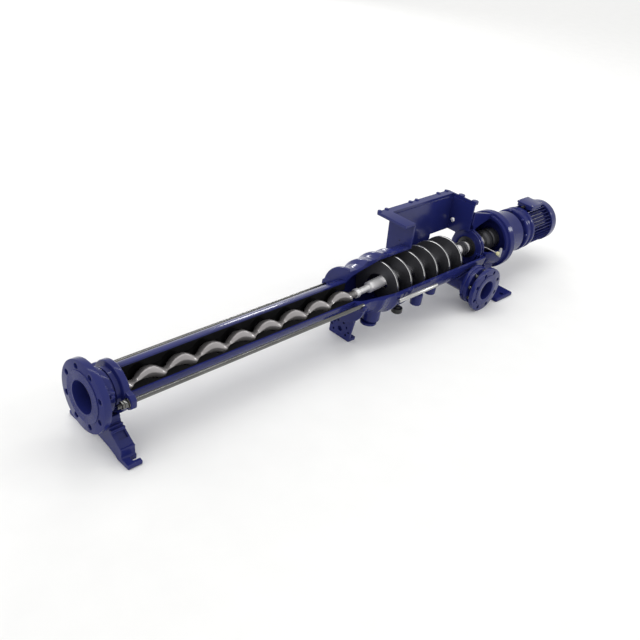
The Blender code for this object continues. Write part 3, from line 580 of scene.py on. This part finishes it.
def discharge_foot():
    """Makes the foot of the discharge end: a web with two ribbed legs and open slots."""
    front = [(-0.155, FLOOR), (-0.098, FLOOR), (-0.088, -0.173), (-0.044, -0.163), (0.0, -0.158),
             (0.044, -0.163), (0.088, -0.173), (0.098, FLOOR), (0.155, FLOOR), (0.155, -0.166),
             (0.118, -0.163), (0.116, -0.137), (0.107, -0.1315), (0.066, -0.107), (0.036, -0.093),
             (0.034, -0.050), (-0.034, -0.050), (-0.036, -0.093), (-0.066, -0.107),
             (-0.107, -0.1315), (-0.116, -0.137), (-0.118, -0.163), (-0.155, -0.166)]
    solids = [prism(rounded(front, 0.004, 3), 0, 0.0500, 0.0585)]
    cuts = [rod((0.0, 0.0), 0, 0.040, 0.0610, 0.0713, 96),
            rod((0.0, 0.0), 0, 0.0605, 0.120, 0.0812, 96)]
    for side in (-1, 1):
        leg = mirrored([(0.040, -0.0730), (0.024, -0.0785), (0.008, -0.0815), (0.020, -0.094),
                        (0.026, -0.140), (0.050, -0.158), (0.088, -0.170), (0.098, FLOOR),
                        (0.155, FLOOR), (0.155, -0.166), (0.118, -0.163), (0.116, -0.137),
                        (0.107, -0.1315), (0.066, -0.107), (0.042, -0.095)], side)
        solids.append(prism(rounded(leg, 0.005, 3), 0, 0.0560, 0.0970))
        for y, z in ((0.042, -0.0928), (0.053, -0.0980), (0.064, -0.1032)):
            solids.append(rod((side * y, z), 0, 0.0510, 0.0965, 0.0038, 16))
        solids.append(rod((side * 0.1140, -0.1358), 0, 0.0505, 0.0965, 0.0034, 16))
        slot = rounded([(0.072, side * 0.123), (0.072, side * 0.141), (0.12, side * 0.141),
                        (0.12, side * 0.123)], 0.0085, 6)
        cuts.append(prism(slot, 2, -0.20, -0.150))
        pocket = mirrored([(0.048, -0.148), (0.086, -0.156), (0.100, -0.146), (0.056, -0.121)],
                          side)
        cuts.append(prism(rounded(pocket, 0.005, 3), 0, 0.0625, 0.120))
        recess = [(0.0735, -0.1022), (0.0941, -0.1145), (0.0869, -0.1265), (0.0663, -0.1142)]
        cuts.append(prism(mirrored(recess, side), 0, 0.0625, 0.091))
    cast("discharge_legs", solids, cuts, "navy_paint", nodes=["discharge_foot"],
         melt=(0.0016, 4, 0.6))


def clamp_ring():
    """Makes the ring that clamps the stator tube, with its two ears."""
    profile = [(0.070, 0.0575), (0.070, 0.0630, 0.001), (0.0840, 0.0630, 0.001),
               (0.0852, 0.0780, 0.001), (0.0880, 0.080, 0.0015), (0.1030, 0.080, 0.0015),
               (0.106, 0.0770, 0.001), (0.106, 0.0575)]
    ears, cuts = [], []
    for side in (-1, 1):
        ear = mirrored([(0.064, -0.028), (0.092, -0.0242), (0.107, -0.014), (0.107, 0.014),
                        (0.092, 0.0242), (0.064, 0.028)], side)
        ears.append(prism(rounded(ear, 0.010, 5), 0, 0.0872, 0.1058, 0.0015))
        cuts.append(rod((side * ROD_OFFSET, 0.0), 0, 0.060, 0.0870, 0.0158, 40))
        cuts.append(rod((side * ROD_OFFSET, 0.0), 0, 0.060, 0.115, 0.0080, 32))
    cast("clamp_ring", [lathe(profile, count=128)], cuts, "navy_paint",
         nodes=["stator_clamp_ring"], add=ears)


# --------stator and rotor

def stator():
    """Makes the stator's steel tube and its rubber lining, both cut open."""
    tube = [(TUBE_START, TUBE_BORE), (TUBE_START, TUBE_RADIUS), (TUBE_END, TUBE_RADIUS),
            (TUBE_END, TUBE_BORE)]
    cast("tube", [lathe(tube, count=128, size=0.0005)], [quarter(CUT_START, TUBE_END + 0.01)],
         "navy_paint", nodes=["stator_tube"])
    per_pitch, spread = 36, 5.0
    step = ROTOR_PITCH / per_pitch
    before = 12
    after = int((LINING_END - CUT_START) / step)
    cut = round(270 / spread)
    around = round(360 / spread)
    outer = TUBE_BORE - GAP
    bm = bmesh.new()
    inner, shell = [], []
    for index in range(-before, after + 1):
        x = CUT_START + step * index
        hollow, skin = [], []
        for column in range(around if index <= 0 else cut + 1):
            side = direction(column * spread)
            reach = cavity(column * spread, x)
            hollow.append(bm.verts.new((x, reach * side[0], reach * side[1])))
            skin.append(bm.verts.new((x, outer * side[0], outer * side[1])))
        inner.append(hollow)
        shell.append(skin)
    for index in range(len(inner) - 1):
        for column in range(around if index < before else cut):
            turn = (column + 1) % around
            for rings in (inner, shell):
                bm.faces.new((rings[index][column], rings[index][turn], rings[index + 1][turn],
                              rings[index + 1][column]))
    for column in range(around):
        turn = (column + 1) % around
        for index in (0, -1 if column < cut else before):
            bm.faces.new((shell[index][column], shell[index][turn], inner[index][turn],
                          inner[index][column]))
    for column in (0, cut):
        for index in range(before, len(inner) - 1):
            bm.faces.new((shell[index][column], inner[index][column], inner[index + 1][column],
                          shell[index + 1][column]))
    made("lining", bm, "lining_rubber", smooth=40, nodes=["stator_lining"])


def cavity(angle, x):
    """Gives the reach of the stator's oval hole at an angle and a station."""
    long_way = (ORBIT_ANGLE + ROTOR_PHASE) / 2 + HAND * 180.0 * (x - ROTOR_START) / ROTOR_PITCH
    half = 2 * ECCENTRICITY
    turn = math.radians(angle - long_way)
    along, across = abs(math.cos(turn)), abs(math.sin(turn))
    if across * half >= CAVITY_RADIUS * along:
        return CAVITY_RADIUS / across
    return half * along + math.sqrt(CAVITY_RADIUS ** 2 - (half * across) ** 2)


def threaded(start, end, crest):
    """Gives profile points of a tie rod's thread from start to end."""
    points = []
    x = start
    while x < end:
        points += [(x, crest, 0), (x + THREAD_PITCH / 2, crest - THREAD_DEPTH, 0)]
        x += THREAD_PITCH
    return points


def tie_rods():
    """Makes the two tie rods, each with its nut, lock nut and washer."""
    for name, side in (("tie_rod_near", -1), ("tie_rod_far", 1)):
        centre = (side * ROD_OFFSET, 0.0)
        profile = [(0.052, 0.0), (0.052, 0.0060), (0.0532, 0.0070)]
        profile += threaded(0.0535, 0.0642, 0.0072)
        profile += [(0.0645, 0.0070), (0.0866, 0.0072, 0), (1.036, 0.0072, 0), (1.055, 0.0072),
                    (1.055, 0.0)]
        parts = [lathe(profile, count=28, centre=centre, size=0.0003)]
        parts.append(turned(lathe([(0.0, 0.0078), (0.0, 0.0150), (0.0024, 0.0150),
                                   (0.0024, 0.0078)], count=40, size=0.0004),
                            (0.0841, *centre), "X"))
        for x, height in ((0.0722, 0.0118), (0.0646, 0.0070)):
            outline = rounded(hexagon(0.0235, 12), 0.0012, 2)
            parts.append(turned(prism(outline, 0, 0.0, height, 0.0012), (x, *centre), "X"))
        made(name + "_bar", merged(parts), "rod_steel_finish", smooth=30, nodes=[name])


def screw_rotor():
    """Makes the single-start screw rotor with its head."""
    axis = ROTOR_AXIS
    per_pitch, sides = 44, 44
    step = ROTOR_PITCH / per_pitch
    rings = []
    for index in range(int(ROTOR_TURNS * per_pitch) + 1):
        x = ROTOR_START + step * index
        swing = direction(ROTOR_PHASE + HAND * 360.0 * (x - ROTOR_START) / ROTOR_PITCH)
        rings.append((x, axis[0] + ECCENTRICITY * swing[0], axis[1] + ECCENTRICITY * swing[1],
                      ROTOR_RADIUS))
    x, y, z = rings[-1][:3]
    for share in (0.25, 0.5, 0.75, 1.0):
        ease = share * share * (3 - 2 * share)
        rings.append((x + 0.008 * share, y + (axis[0] - y) * ease, z + (axis[1] - z) * ease,
                      ROTOR_RADIUS + (0.0140 - ROTOR_RADIUS) * ease))
    rings += [(1.0925, *axis, 0.0140), (1.0935, *axis, 0.0128), (1.0955, *axis, 0.0128),
              (1.0965, *axis, 0.0140), (1.0992, *axis, 0.0140), (1.1000, *axis, 0.0132)]
    rings.insert(0, (ROTOR_START, rings[0][1], rings[0][2], ROTOR_RADIUS - 0.0015))
    rings[1] = (ROTOR_START + 0.0015, *rings[1][1:])
    bm = tube_through(rings, sides)
    made("rotor_screw", bm, "chrome", "screw_rotor", 60, ["rotor"])


def tube_through(rings, sides):
    """Makes a closed skin through rings given as (x, y, z, radius)."""
    bm = bmesh.new()
    loops = []
    for x, y, z, radius in rings:
        loops.append([bm.verts.new((x, y + radius * math.sin(2 * math.pi * k / sides),
                                    z + radius * math.cos(2 * math.pi * k / sides)))
                      for k in range(sides)])
    skin(bm, loops)
    return bm


def link():
    """Makes the link between rotor and auger: a collar, a thin neck and the joint's sleeve."""
    stations = [(LINK_START, 0.0160), (LINK_START + 0.0015, 0.0175), (1.1055, 0.0175),
                (1.1062, 0.0166), (1.1082, 0.0166), (1.1089, 0.0175), (1.1165, 0.0175),
                (1.1180, 0.0160), (1.1230, 0.0132), (1.1260, 0.0130), (1.1500, 0.0130),
                (1.1507, 0.0122), (1.1527, 0.0122), (1.1534, 0.0130), (1.1690, 0.0130),
                (1.1715, 0.0136), (1.1745, 0.0200), (1.1760, 0.0215), (1.1840, 0.0215),
                (1.1847, 0.0206), (1.1867, 0.0206), (1.1874, 0.0215), (1.2720, 0.0215),
                (1.2727, 0.0206), (1.2747, 0.0206), (1.2754, 0.0215), (1.2828, 0.0215),
                (1.2845, 0.0200), (1.2852, 0.0180), (LINK_PIVOT, 0.0178)]
    length = LINK_PIVOT - LINK_START
    rings = [(x, *(part * (LINK_PIVOT - x) / length for part in ROTOR_AXIS), radius)
             for x, radius in stations]
    made("link_shaft", tube_through(rings, 40), "brushed_steel", "link_rod", 45, ["coupling_rod"])


def feed_screw():
    """Makes the auger: its hub with one helical flight that runs on as a ribbon in front."""
    per_turn, start, end = 96, 1.195, 1.690
    thick = 0.0080
    turns = (end - 0.004 - start - thick) / AUGER_PITCH
    rim = AUGER_RADIUS
    bm = bmesh.new()
    rows = []
    for index in range(int(turns * per_turn) + 1):
        side = direction(AUGER_PHASE + AUGER_HAND * 360.0 * index / per_turn)
        x = start + thick / 2 + AUGER_PITCH * index / per_turn
        root = 0.0332 if x - thick / 2 < 1.290 else 0.0285
        section = [(-0.0040, root), (-0.0040, 0.055), (-0.0040, 0.070), (-0.0040, rim - 0.0013),
                   (-0.0028, rim), (0.0030, rim), (0.0040, rim - 0.0010), (0.0040, 0.070),
                   (0.0040, 0.055), (0.0040, root)]
        rows.append([bm.verts.new((x + dx, radius * side[0], radius * side[1]))
                     for dx, radius in section])
    # The rim faces take the bright steel: a painted highlight along each flight's edge
    for face in skin(bm, rows)[3::len(section)]:
        face.material_index = 1
    flight = made("auger_flight", bm, "screw_steel", "drive_line", 30, ["auger"])
    flight.data.materials.append(MATERIALS["highlight_steel"])
    profile = [(1.290, 0.0235), (1.290, 0.0320, 0.002), (1.690, 0.0320, 0.0015), (1.690, 0.0),
               (1.3005, 0.0), (1.3005, 0.0235)]
    # The hub takes the bright steel too: painted glints between the flights
    made("auger_hub", lathe(profile, count=64), "highlight_steel", "drive_line", 30)


# --------housings

def cone_housing():
    """Makes the cone housing with its rings, ears and drain boss, cut open."""
    outer = [(1.045, 0.0), (1.045, 0.103, 0.002), (1.059, 0.103, 0.002), (1.0592, 0.0900, 0.004),
             (1.100, 0.0880, 0.01), (1.128, 0.0940, 0.01), (1.1445, 0.1065, 0.004),
             (1.155, 0.1070, 0.004), (1.174, 0.1030, 0.008), (1.192, 0.1030, 0.008),
             (1.208, 0.1080, 0.006), (1.221, 0.1147, 0.005), (1.231, 0.1150, 0.005),
             (1.248, 0.1100, 0.006), (1.262, 0.1080), (1.262, 0.0)]
    bore = [(1.030, 0.0), (1.030, 0.0575), (1.0545, 0.0575), (1.0545, 0.0560), (1.060, 0.0580),
            (1.075, 0.0680), (1.126, 0.0780), (1.220, 0.0940), (1.272, 0.0940), (1.272, 0.0)]
    solids = [lathe(outer, count=120)]
    holes = []
    for side in (-1, 1):
        ear = mirrored([(0.070, -0.026), (0.092, -0.024), (0.108, -0.014), (0.108, 0.014),
                        (0.092, 0.024), (0.070, 0.026)], side)
        solids.append(prism(rounded(ear, 0.008, 4), 0, 1.042, 1.057, 0.001))
        holes.append(rod((side * ROD_OFFSET, 0.0), 0, 1.030, 1.0572, 0.0080, 32))
    solids.append(rod(DRAIN, 2, -0.1043, -0.060, 0.033, 48))
    cast("cone_casting", solids, holes + [lathe(bore, count=120, size=0.002, steps=3),
                                          quarter(1.0, 1.3)],
         "navy_paint", nodes=["compression_housing"], melt=(0.0020, 5, 0.45))


def trough():
    """Makes the trough around the auger with its ring, bosses and side branch, cut open."""
    outer = [(1.264, 0.0), (1.264, 0.108, 0.001), (1.284, 0.1065, 0.004), (1.295, 0.1103, 0.004),
             (1.304, 0.1103, 0.004), (1.318, 0.1040, 0.006), (1.790, 0.1040, 0.0015), (1.790, 0.0)]
    solids = [lathe(outer, count=120)]
    solids.append(rod(PORT, 1, -0.130, -0.020, 0.052, 64))
    solids.append(rod(PORT, 1, -0.130, -0.114, 0.080, 64))
    for x, y, low in ((1.408, -0.068, -0.117), (1.500, -0.060, -0.100)):
        solids.append(rod((x, y), 2, low, -0.070, 0.023, 40, 0.004))
    cuts = [rod((0.0, 0.0), 0, 1.250, 1.774, 0.0940, 128),
            rod((0.0, 0.0), 0, 1.760, 1.800, 0.0600, 96),
            quarter(1.20, 1.90),
            block((1.389, -0.01, 0.0006), (1.800, 0.2, 0.2), 0),
            block((1.660, 0.056, -0.040), (1.795, 0.130, 0.010), 0),
            rod(PORT, 1, -0.150, -0.040, 0.040, 64)]
    for radius in (0.0655, 0.0770, 0.0885):
        cuts.append(lathe([(1.768, radius), (1.768, radius + 0.0060), (1.7840, radius + 0.0060),
                           (1.7840, radius)], count=128, size=0))
    for x, z in ((1.640, -0.031), (1.739, -0.018), (1.602, -0.089), (1.639, -0.114)):
        cuts.append(rod((x, z), 1, -0.136, -0.112, 0.0070, 24))
    cast("trough_casting", solids, cuts, "navy_paint", nodes=["screw_trough"],
         melt=(0.0024, 5, 0.45))


def hopper():
    """Makes the hopper's walls, its flange with lugs, and the plug in its rear wall."""
    top = 0.1877
    outside = [(0.0, 0.0010), (0.1095, 0.0010), (0.1095, 0.045), (0.121, top), (0.0, top)]
    inside = [(-0.010, -0.010), (0.1005, -0.010), (0.1005, 0.045), (0.112, top + 0.010),
              (-0.010, top + 0.010)]
    cuts = [prism(inside, 0, 1.400, 1.778)]
    for reach, start, end in ((0.0935, 1.381, 1.410), (0.0753, 1.768, 1.795)):
        sides = [direction(90 - 5 * step) for step in range(19)]
        cuts.append(prism([(-0.010, -0.010), (reach, -0.010),
                           *[(reach * y, reach * z) for y, z in sides], (-0.010, reach)],
                          0, start, end))
    cuts += [block((1.660, 0.050, -0.02), (1.795, 0.130, 0.047), 0),
             rod((0.052, 0.107), 0, 1.38, 1.41, 0.0035, 20)]
    cast("hopper_walls", [prism(outside, 0, 1.391, 1.785)], cuts, "navy_paint",
         nodes=["hopper"])
    low, high = 0.188, 0.200
    lugs = []
    for x in (1.352, 1.392, 1.536, 1.575, 1.716, 1.771):
        lugs.append(rod((x, 0.142), 2, low + 0.001, high + 0.003, 0.009, 32, 0.0015))
    for y in (0.012, 0.080):
        lugs.append(rod((1.794, y), 2, low + 0.001, high + 0.003, 0.014, 32, 0.0015))
    outline = rounded([(1.340, 0.0, 0), (1.790, 0.0, 0), (1.790, 0.145, 0.004),
                       (1.340, 0.145, 0.004)], 0.0, 4)
    cuts = [block((1.394, -0.01, 0.17), (1.782, 0.114, 0.22), 0),
            block((1.70, -0.1, 0.17), (1.90, 0.0, 0.22), 0)]
    cast("hopper_rim", [prism(outline, 2, low, high, 0.001)], cuts, "navy_paint",
         nodes=["hopper_flange"], add=lugs)
    profile = [(1.7777, 0.0), (1.7777, 0.0095), (1.7745, 0.0095, 0.001), (1.7712, 0.0062),
               (1.7712, 0.0)]
    made("hopper_inspection_plug", lathe(profile, count=40, centre=(0.084, 0.093)), "brushed_steel",
         nodes=["hopper_plug"])


def side_port():
    """Makes the side port's spool with its front flange and the bolts of its rear joint."""
    profile = [(-0.1304, 0.040), (-0.1304, 0.078), (-0.1464, 0.078, 0.001), (-0.1484, 0.050, 0.004),
               (-0.168, 0.050, 0.004), (-0.170, 0.092, 0.0012), (-0.187, 0.092, 0.0015),
               (-0.187, 0.066, 0.0005), (-0.190, 0.066, 0.0006), (-0.190, 0.040)]
    cuts = [rod(spot, 1, -0.20, -0.160, 0.008, 32) for spot in circle(8, 0.076, 22.5, PORT)]
    body = turned(lathe(profile, count=112), (PORT[0], 0, PORT[1]), "Y")
    cast("port_branch", [body], cuts, "navy_paint", nodes=["port_spool"])
    nuts = [nut((x, -0.1465, z), "-Y", 0.014, 0.008, 10 * step, 0.0015, 0.003)
            for step, (x, z) in enumerate(circle(8, 0.066, 12, PORT))]
    made("port_nuts", merged(nuts), "rod_steel_finish", smooth=30)


def middle_foot():
    """Makes the foot under the cone housing."""
    start = 1.0593
    plate = [(-0.050, FLOOR), (0.050, FLOOR), (0.050, -0.147), (0.058, -0.090), (0.052, -0.080),
             (-0.052, -0.080), (-0.058, -0.090), (-0.050, -0.147)]
    solids = [prism(rounded(plate, 0.004, 3), 0, start, start + 0.011, 0.001)]
    add = [block((start, -0.050, FLOOR), (start + 0.036, 0.050, -0.167), 0.0015),
           prism([(start + 0.010, -0.168), (start + 0.010, -0.100), (start + 0.019, -0.100),
                  (start + 0.033, -0.168)], 1, -0.006, 0.006, 0.001)]
    cuts = [rod((0.0, 0.0), 0, 1.05, 1.10, 0.0911, 96),
            rod((0.0, -0.146), 0, 1.05, start + 0.009, 0.010, 40)]
    for y, z in ((-0.030, -0.128), (0.030, -0.128), (-0.030, -0.160), (0.030, -0.160),
                 (-0.014, -0.116), (0.014, -0.116), (-0.041, -0.144), (0.041, -0.144)):
        cuts.append(rod((y, z), 0, 1.05, start + 0.009, 0.0045, 24))
    for side in (-1, 1):
        cuts.append(rod((start + 0.024, side * 0.032), 2, -0.19, -0.16, 0.007, 32))
    cast("cone_foot", solids, cuts, "navy_paint", nodes=["middle_foot"], add=add)


def under_parts():
    """Makes the grey bar, the drain stub and the black plug under the housings."""
    made("trough_rail", prism(arc((-0.1221, -0.017), 0.0078, 0, 351, 39), 0, 1.217, 1.442, 0.001),
         "zinc_steel", nodes=["trough_bar"])
    x, y = DRAIN
    made("drain_cover", merged([rod((x, y), 2, -0.118, -0.1048, 0.025, 48, 0.001),
                                rod((x - 0.010, y), 2, -0.119, -0.110, 0.031, 48, 0.0015)]),
         "navy_paint", nodes=["drain_stub"])
    profile = [(-0.126, 0.0), (-0.126, 0.016, 0.001), (-0.122, 0.021, 0.001),
               (-0.1045, 0.021, 0.001), (-0.1045, 0.010), (-0.0988, 0.010), (-0.0988, 0.0)]
    made("black_plug", turned(lathe(profile, count=48), (1.305, -0.060, 0), "Z"), "black_finish",
         nodes=["drain_plug"])


# --------drive end

def drive_end():
    """Makes the seal housing, the bell housing with its foot, and what shows inside it."""
    profile = [(1.7904, 0.046), (1.7904, 0.075, 0.001), (1.797, 0.075, 0.001),
               (1.799, 0.068, 0.0008), (1.803, 0.068, 0.0008), (1.805, 0.075, 0.001),
               (1.8136, 0.075), (1.8136, 0.046)]
    made("seal_drum", lathe(profile, count=96), "navy_paint", nodes=["seal_housing"])
    profile = [(1.784, 0.0245), (1.784, 0.034, 0.001), (1.790, 0.034), (1.792, 0.0455),
               (1.812, 0.0455), (1.812, 0.0245)]
    made("seal_ring", lathe(profile, count=72), "black_finish", nodes=["shaft_seal"])
    outer = [(1.814, 0.0), (1.814, 0.086, 0.002), (1.840, 0.094), (1.900, 0.104),
             (1.935, 0.112, 0.002), (1.935, 0.123, 0.002), (1.968, 0.123, 0.002),
             (1.985, 0.112, 0.002), (1.985, 0.0)]
    inner = [(1.804, 0.0), (1.804, 0.042), (1.828, 0.042), (1.830, 0.077, 0.002), (1.860, 0.086),
             (1.950, 0.105, 0.003), (1.973, 0.102, 0.003), (1.973, 0.070), (1.995, 0.070),
             (1.995, 0.0)]
    gusset = [(1.816, 0.080), (1.946, 0.108), (1.932, 0.119), (1.796, 0.154), (1.796, 0.100)]
    foot = [(1.816, FLOOR), (1.934, FLOOR), (1.934, -0.164), (1.905, -0.150), (1.905, -0.070),
            (1.836, -0.060), (1.836, -0.164), (1.816, -0.164)]
    solids = [lathe(outer, count=120), prism(gusset, 1, 0.0, 0.012),
              prism(rounded(foot, 0.003, 2), 1, -0.080, 0.080, 0.002)]
    cuts = [lathe(inner, count=120, size=0.001), quarter(1.76, 1.925),
            block((1.850, -0.060, -0.19), (1.893, 0.060, -0.120), 0)]
    for side in (-1, 1):
        solids.append(block((1.817, side * 0.060, FLOOR), (1.933, side * 0.190, -0.164), 0.0025))
        cuts.append(rod((1.876, side * 0.172), 2, -0.19, -0.15, 0.009, 40))
    # The bell housing takes the darker copy of the paint as painted shade
    cast("bell_housing", solids, cuts, "shaded_paint", nodes=["lantern"], melt=(0.0024, 4, 0.45))
    profile = [(1.6904, 0.0), (1.6904, 0.021, 0.001), (1.750, 0.021, 0.001), (1.750, 0.024),
               (1.905, 0.024, 0.001), (1.905, 0.0)]
    made("shaft", lathe(profile, count=64), "brushed_steel", "drive_line",
         nodes=["drive_shaft"])
    profile = [(1.740, 0.0215), (1.740, 0.030, 0.001), (1.748, 0.030, 0.001), (1.749, 0.027),
               (1.752, 0.027), (1.753, 0.031, 0.001), (1.764, 0.031, 0.001), (1.764, 0.0243),
               (1.7497, 0.0243), (1.7497, 0.0215)]
    made("shaft_collar", lathe(profile, count=64), "screw_steel", "drive_line")
    profile = [(1.890, 0.0243), (1.890, 0.038, 0.001), (1.898, 0.045, 0.001), (1.918, 0.045),
               (1.921, 0.040), (1.933, 0.040), (1.936, 0.045), (1.970, 0.045, 0.001), (1.970, 0.0),
               (1.9055, 0.0), (1.9055, 0.0243)]
    made("shaft_coupling", lathe(profile, count=72), "screw_steel", "drive_line",
         nodes=["coupling"])


def grease_parts():
    """Makes the thin grease pipe with its knob and the white cup beside it."""
    start = Vector((1.8143, -0.050, 0.0065))
    corner = Vector((1.853, -0.050, 0.0065))
    end = Vector((1.853, -0.110, 0.0065))
    path = [start, start.lerp(corner, 0.5)]
    bend = 0.010
    for step in range(9):
        turn = math.radians(90 * step / 8)
        path.append(Vector((corner.x - bend + bend * math.sin(turn),
                            corner.y - bend + bend * math.cos(turn), corner.z)))
    path += [corner.lerp(end, 0.6), end]
    made("grease_line", swept(path, 0.0030, 14), "chrome", nodes=["grease_pipe"])
    profile = [(-0.1103, 0.0), (-0.1103, 0.006), (-0.1133, 0.0085, 0.001),
               (-0.1203, 0.0085, 0.001), (-0.1233, 0.005, 0.001), (-0.1233, 0.0)]
    knob = turned(lathe(profile, count=32, size=0.0003), (1.853, 0, 0.0065), "Y")
    made("grease_cap", knob, "yellow_finish", nodes=["grease_knob"])
    cup = merged([rod((1.886, -0.1084), 2, -0.020, 0.013, 0.0062, 36, 0.001),
                  rod((1.886, -0.1084), 2, 0.0125, 0.018, 0.0048, 36, 0.001)])
    made("grease_pot", cup, "white_finish", nodes=["grease_cup"])


def gear_unit():
    """Makes the planetary gearbox with its flange bolts."""
    profile = [(1.975, 0.0), (1.975, 0.0695), (1.9854, 0.0695), (1.9854, 0.104, 0.0012),
               (1.996, 0.104, 0.0012), (1.998, 0.092, 0.002), (2.084, 0.092, 0.001),
               (2.088, 0.088, 0.001), (2.088, 0.074, 0.002), (2.1137, 0.074), (2.1137, 0.0)]
    # The gear case takes the darker copy of the paint as painted shade
    made("gear_case", lathe(profile, count=128), "shaded_paint", nodes=["gearbox"])
    bolts = [nut((1.9961, *spot), "X", 0.0085, 0.006, 30 * step, 0.001)
             for step, spot in enumerate(circle(12, 0.0985, 15))]
    bolts += [nut((2.1137, *spot), "-X", 0.0105, 0.008, 30 * step, 0.0012, 0.004)
              for step, spot in enumerate(circle(8, 0.0885, 10))]
    made("gear_bolts", merged(bolts), "navy_paint", smooth=30)


def motor():
    """Makes the motor: flange, finned frame, fan cover, terminal box and gland."""
    profile = [(2.114, 0.0), (2.114, 0.090, 0.001), (2.118, 0.094, 0.001), (2.132, 0.094, 0.001),
               (2.136, 0.088, 0.002), (2.155, 0.088, 0.002), (2.159, 0.093, 0.001),
               (2.175, 0.093, 0.001), (2.175, 0.0)]
    # The motor's flange and frame take the darker copy of the paint as painted shade
    made("motor_shield", lathe(profile, count=128), "shaded_paint", nodes=["motor_flange"])
    fins = 36
    outline = []
    for fin in range(fins):
        middle = 360.0 * fin / fins
        for offset, radius in ((-2.9, 0.0715), (-0.95, 0.0725), (-0.70, 0.0874), (0.0, 0.088),
                               (0.70, 0.0874), (0.95, 0.0725), (2.9, 0.0715)):
            side = direction(middle + offset)
            outline.append((radius * side[0], radius * side[1]))
    made("motor_frame", prism(outline, 0, 2.1753, 2.3247), "shaded_paint", smooth=25,
         nodes=["motor_body"])
    profile = [(2.325, 0.0), (2.325, 0.091, 0.001), (2.360, 0.091, 0.005), (2.369, 0.086, 0.005),
               (2.372, 0.078, 0.003)]
    reach = 0.070
    while reach > 0.022:
        profile += [(2.372, reach + 0.0035), (2.368, reach + 0.0030), (2.368, reach - 0.0002),
                    (2.372, reach - 0.0007)]
        reach -= 0.0085
    profile += [(2.372, 0.0)]
    made("fan_hood", lathe(profile, count=96, size=0.0003, steps=1), "navy_paint",
         nodes=["fan_cover"])
    box = merged([block((2.196, -0.038, 0.0885), (2.276, 0.038, 0.1030), 0.0015, 0.005),
                  block((2.193, -0.041, 0.1032), (2.279, 0.041, 0.1110), 0.0015, 0.005)])
    made("terminal_case", box, "navy_paint", nodes=["terminal_box"])
    screws = []
    for x in (2.199, 2.273):
        for y in (-0.035, 0.035):
            screws.append(nut((x, y, 0.1108), "Z", 0.0055, 0.002, 20))
    made("terminal_screws", merged(screws), "zinc_steel")
    gland = turned(rod((0, 0), 0, 0.0, 0.020, 0.0056, 32, 0.0006), (2.1755, 0.0, 0.0958), "X")
    made("gland", gland, "black_finish", nodes=["cable_gland"])


# --------camera, light, floor

def camera():
    """Sets the camera up as the photograph was taken."""
    yaw, pitch, roll = math.radians(YAW), math.radians(PITCH), math.radians(ROLL)
    ahead = Vector((math.cos(yaw) * math.cos(pitch), math.sin(yaw) * math.cos(pitch),
                    -math.sin(pitch)))
    level = Vector((math.sin(yaw), -math.cos(yaw), 0.0))
    above = level.cross(ahead)
    right = level * math.cos(roll) + above * math.sin(roll)
    up = -level * math.sin(roll) + above * math.cos(roll)
    lens = bpy.data.cameras.new("view")
    lens.lens = LENS
    lens.sensor_width = SENSOR
    eye = placed("view", lens)
    eye.matrix_world = Matrix((right, up, -ahead)).transposed().to_4x4()
    eye.location = EYE
    bpy.context.scene.camera = eye


def softbox(name, place, aim, size, power):
    """Makes a large soft light."""
    lamp = bpy.data.lights.new(name, "AREA")
    lamp.shape = "RECTANGLE"
    lamp.size, lamp.size_y = size
    lamp.energy = power
    holder = placed(name, lamp)
    holder.location = place
    holder.rotation_euler = (Vector(aim) - Vector(place)).to_track_quat("-Z", "Y").to_euler()


def studio():
    """Makes the pale floor, the pale surround and the soft lights."""
    bm = bmesh.new()
    bmesh.ops.create_grid(bm, x_segments=2, y_segments=2, size=30.0)
    mesh = mesh_from(bm, "floor")
    floor = placed("floor", mesh)
    mesh.materials.append(MATERIALS["floor_finish"])
    world = bpy.data.worlds.new("studio")
    bpy.context.scene.world = world
    world.use_nodes = True
    back = world.node_tree.nodes["Background"]
    back.inputs["Color"].default_value = (1.0, 1.0, 1.0, 1.0)
    back.inputs["Strength"].default_value = 0.84
    sun = bpy.data.lights.new("sky", "SUN")
    sun.energy = 0.85
    sun.angle = math.radians(75.0)
    holder = placed("sky", sun)
    holder.rotation_euler = Vector(SUN_AIM).to_track_quat("-Z", "Y").to_euler()
    softbox("top", (0.3, 0.5, 3.2), (0.0, 0.0, 0.0), (3.4, 0.25), 18.0)
    softbox("near", (5.3, -2.5, 2.5), (0.3, 0.0, 0.2), (0.9, 0.9), 45.0)
    softbox("far", (3.4, 4.9, 1.9), (0.3, 0.0, 0.2), (1.2, 0.7), 45.0)
    bpy.context.scene.view_settings.view_transform = "Standard"


def main():
    camera()
    make_materials()
    studio()
    discharge_end()
    discharge_foot()
    clamp_ring()
    stator()
    tie_rods()
    screw_rotor()
    link()
    feed_screw()
    cone_housing()
    trough()
    hopper()
    side_port()
    middle_foot()
    under_parts()
    drive_end()
    grease_parts()
    gear_unit()
    motor()


main()
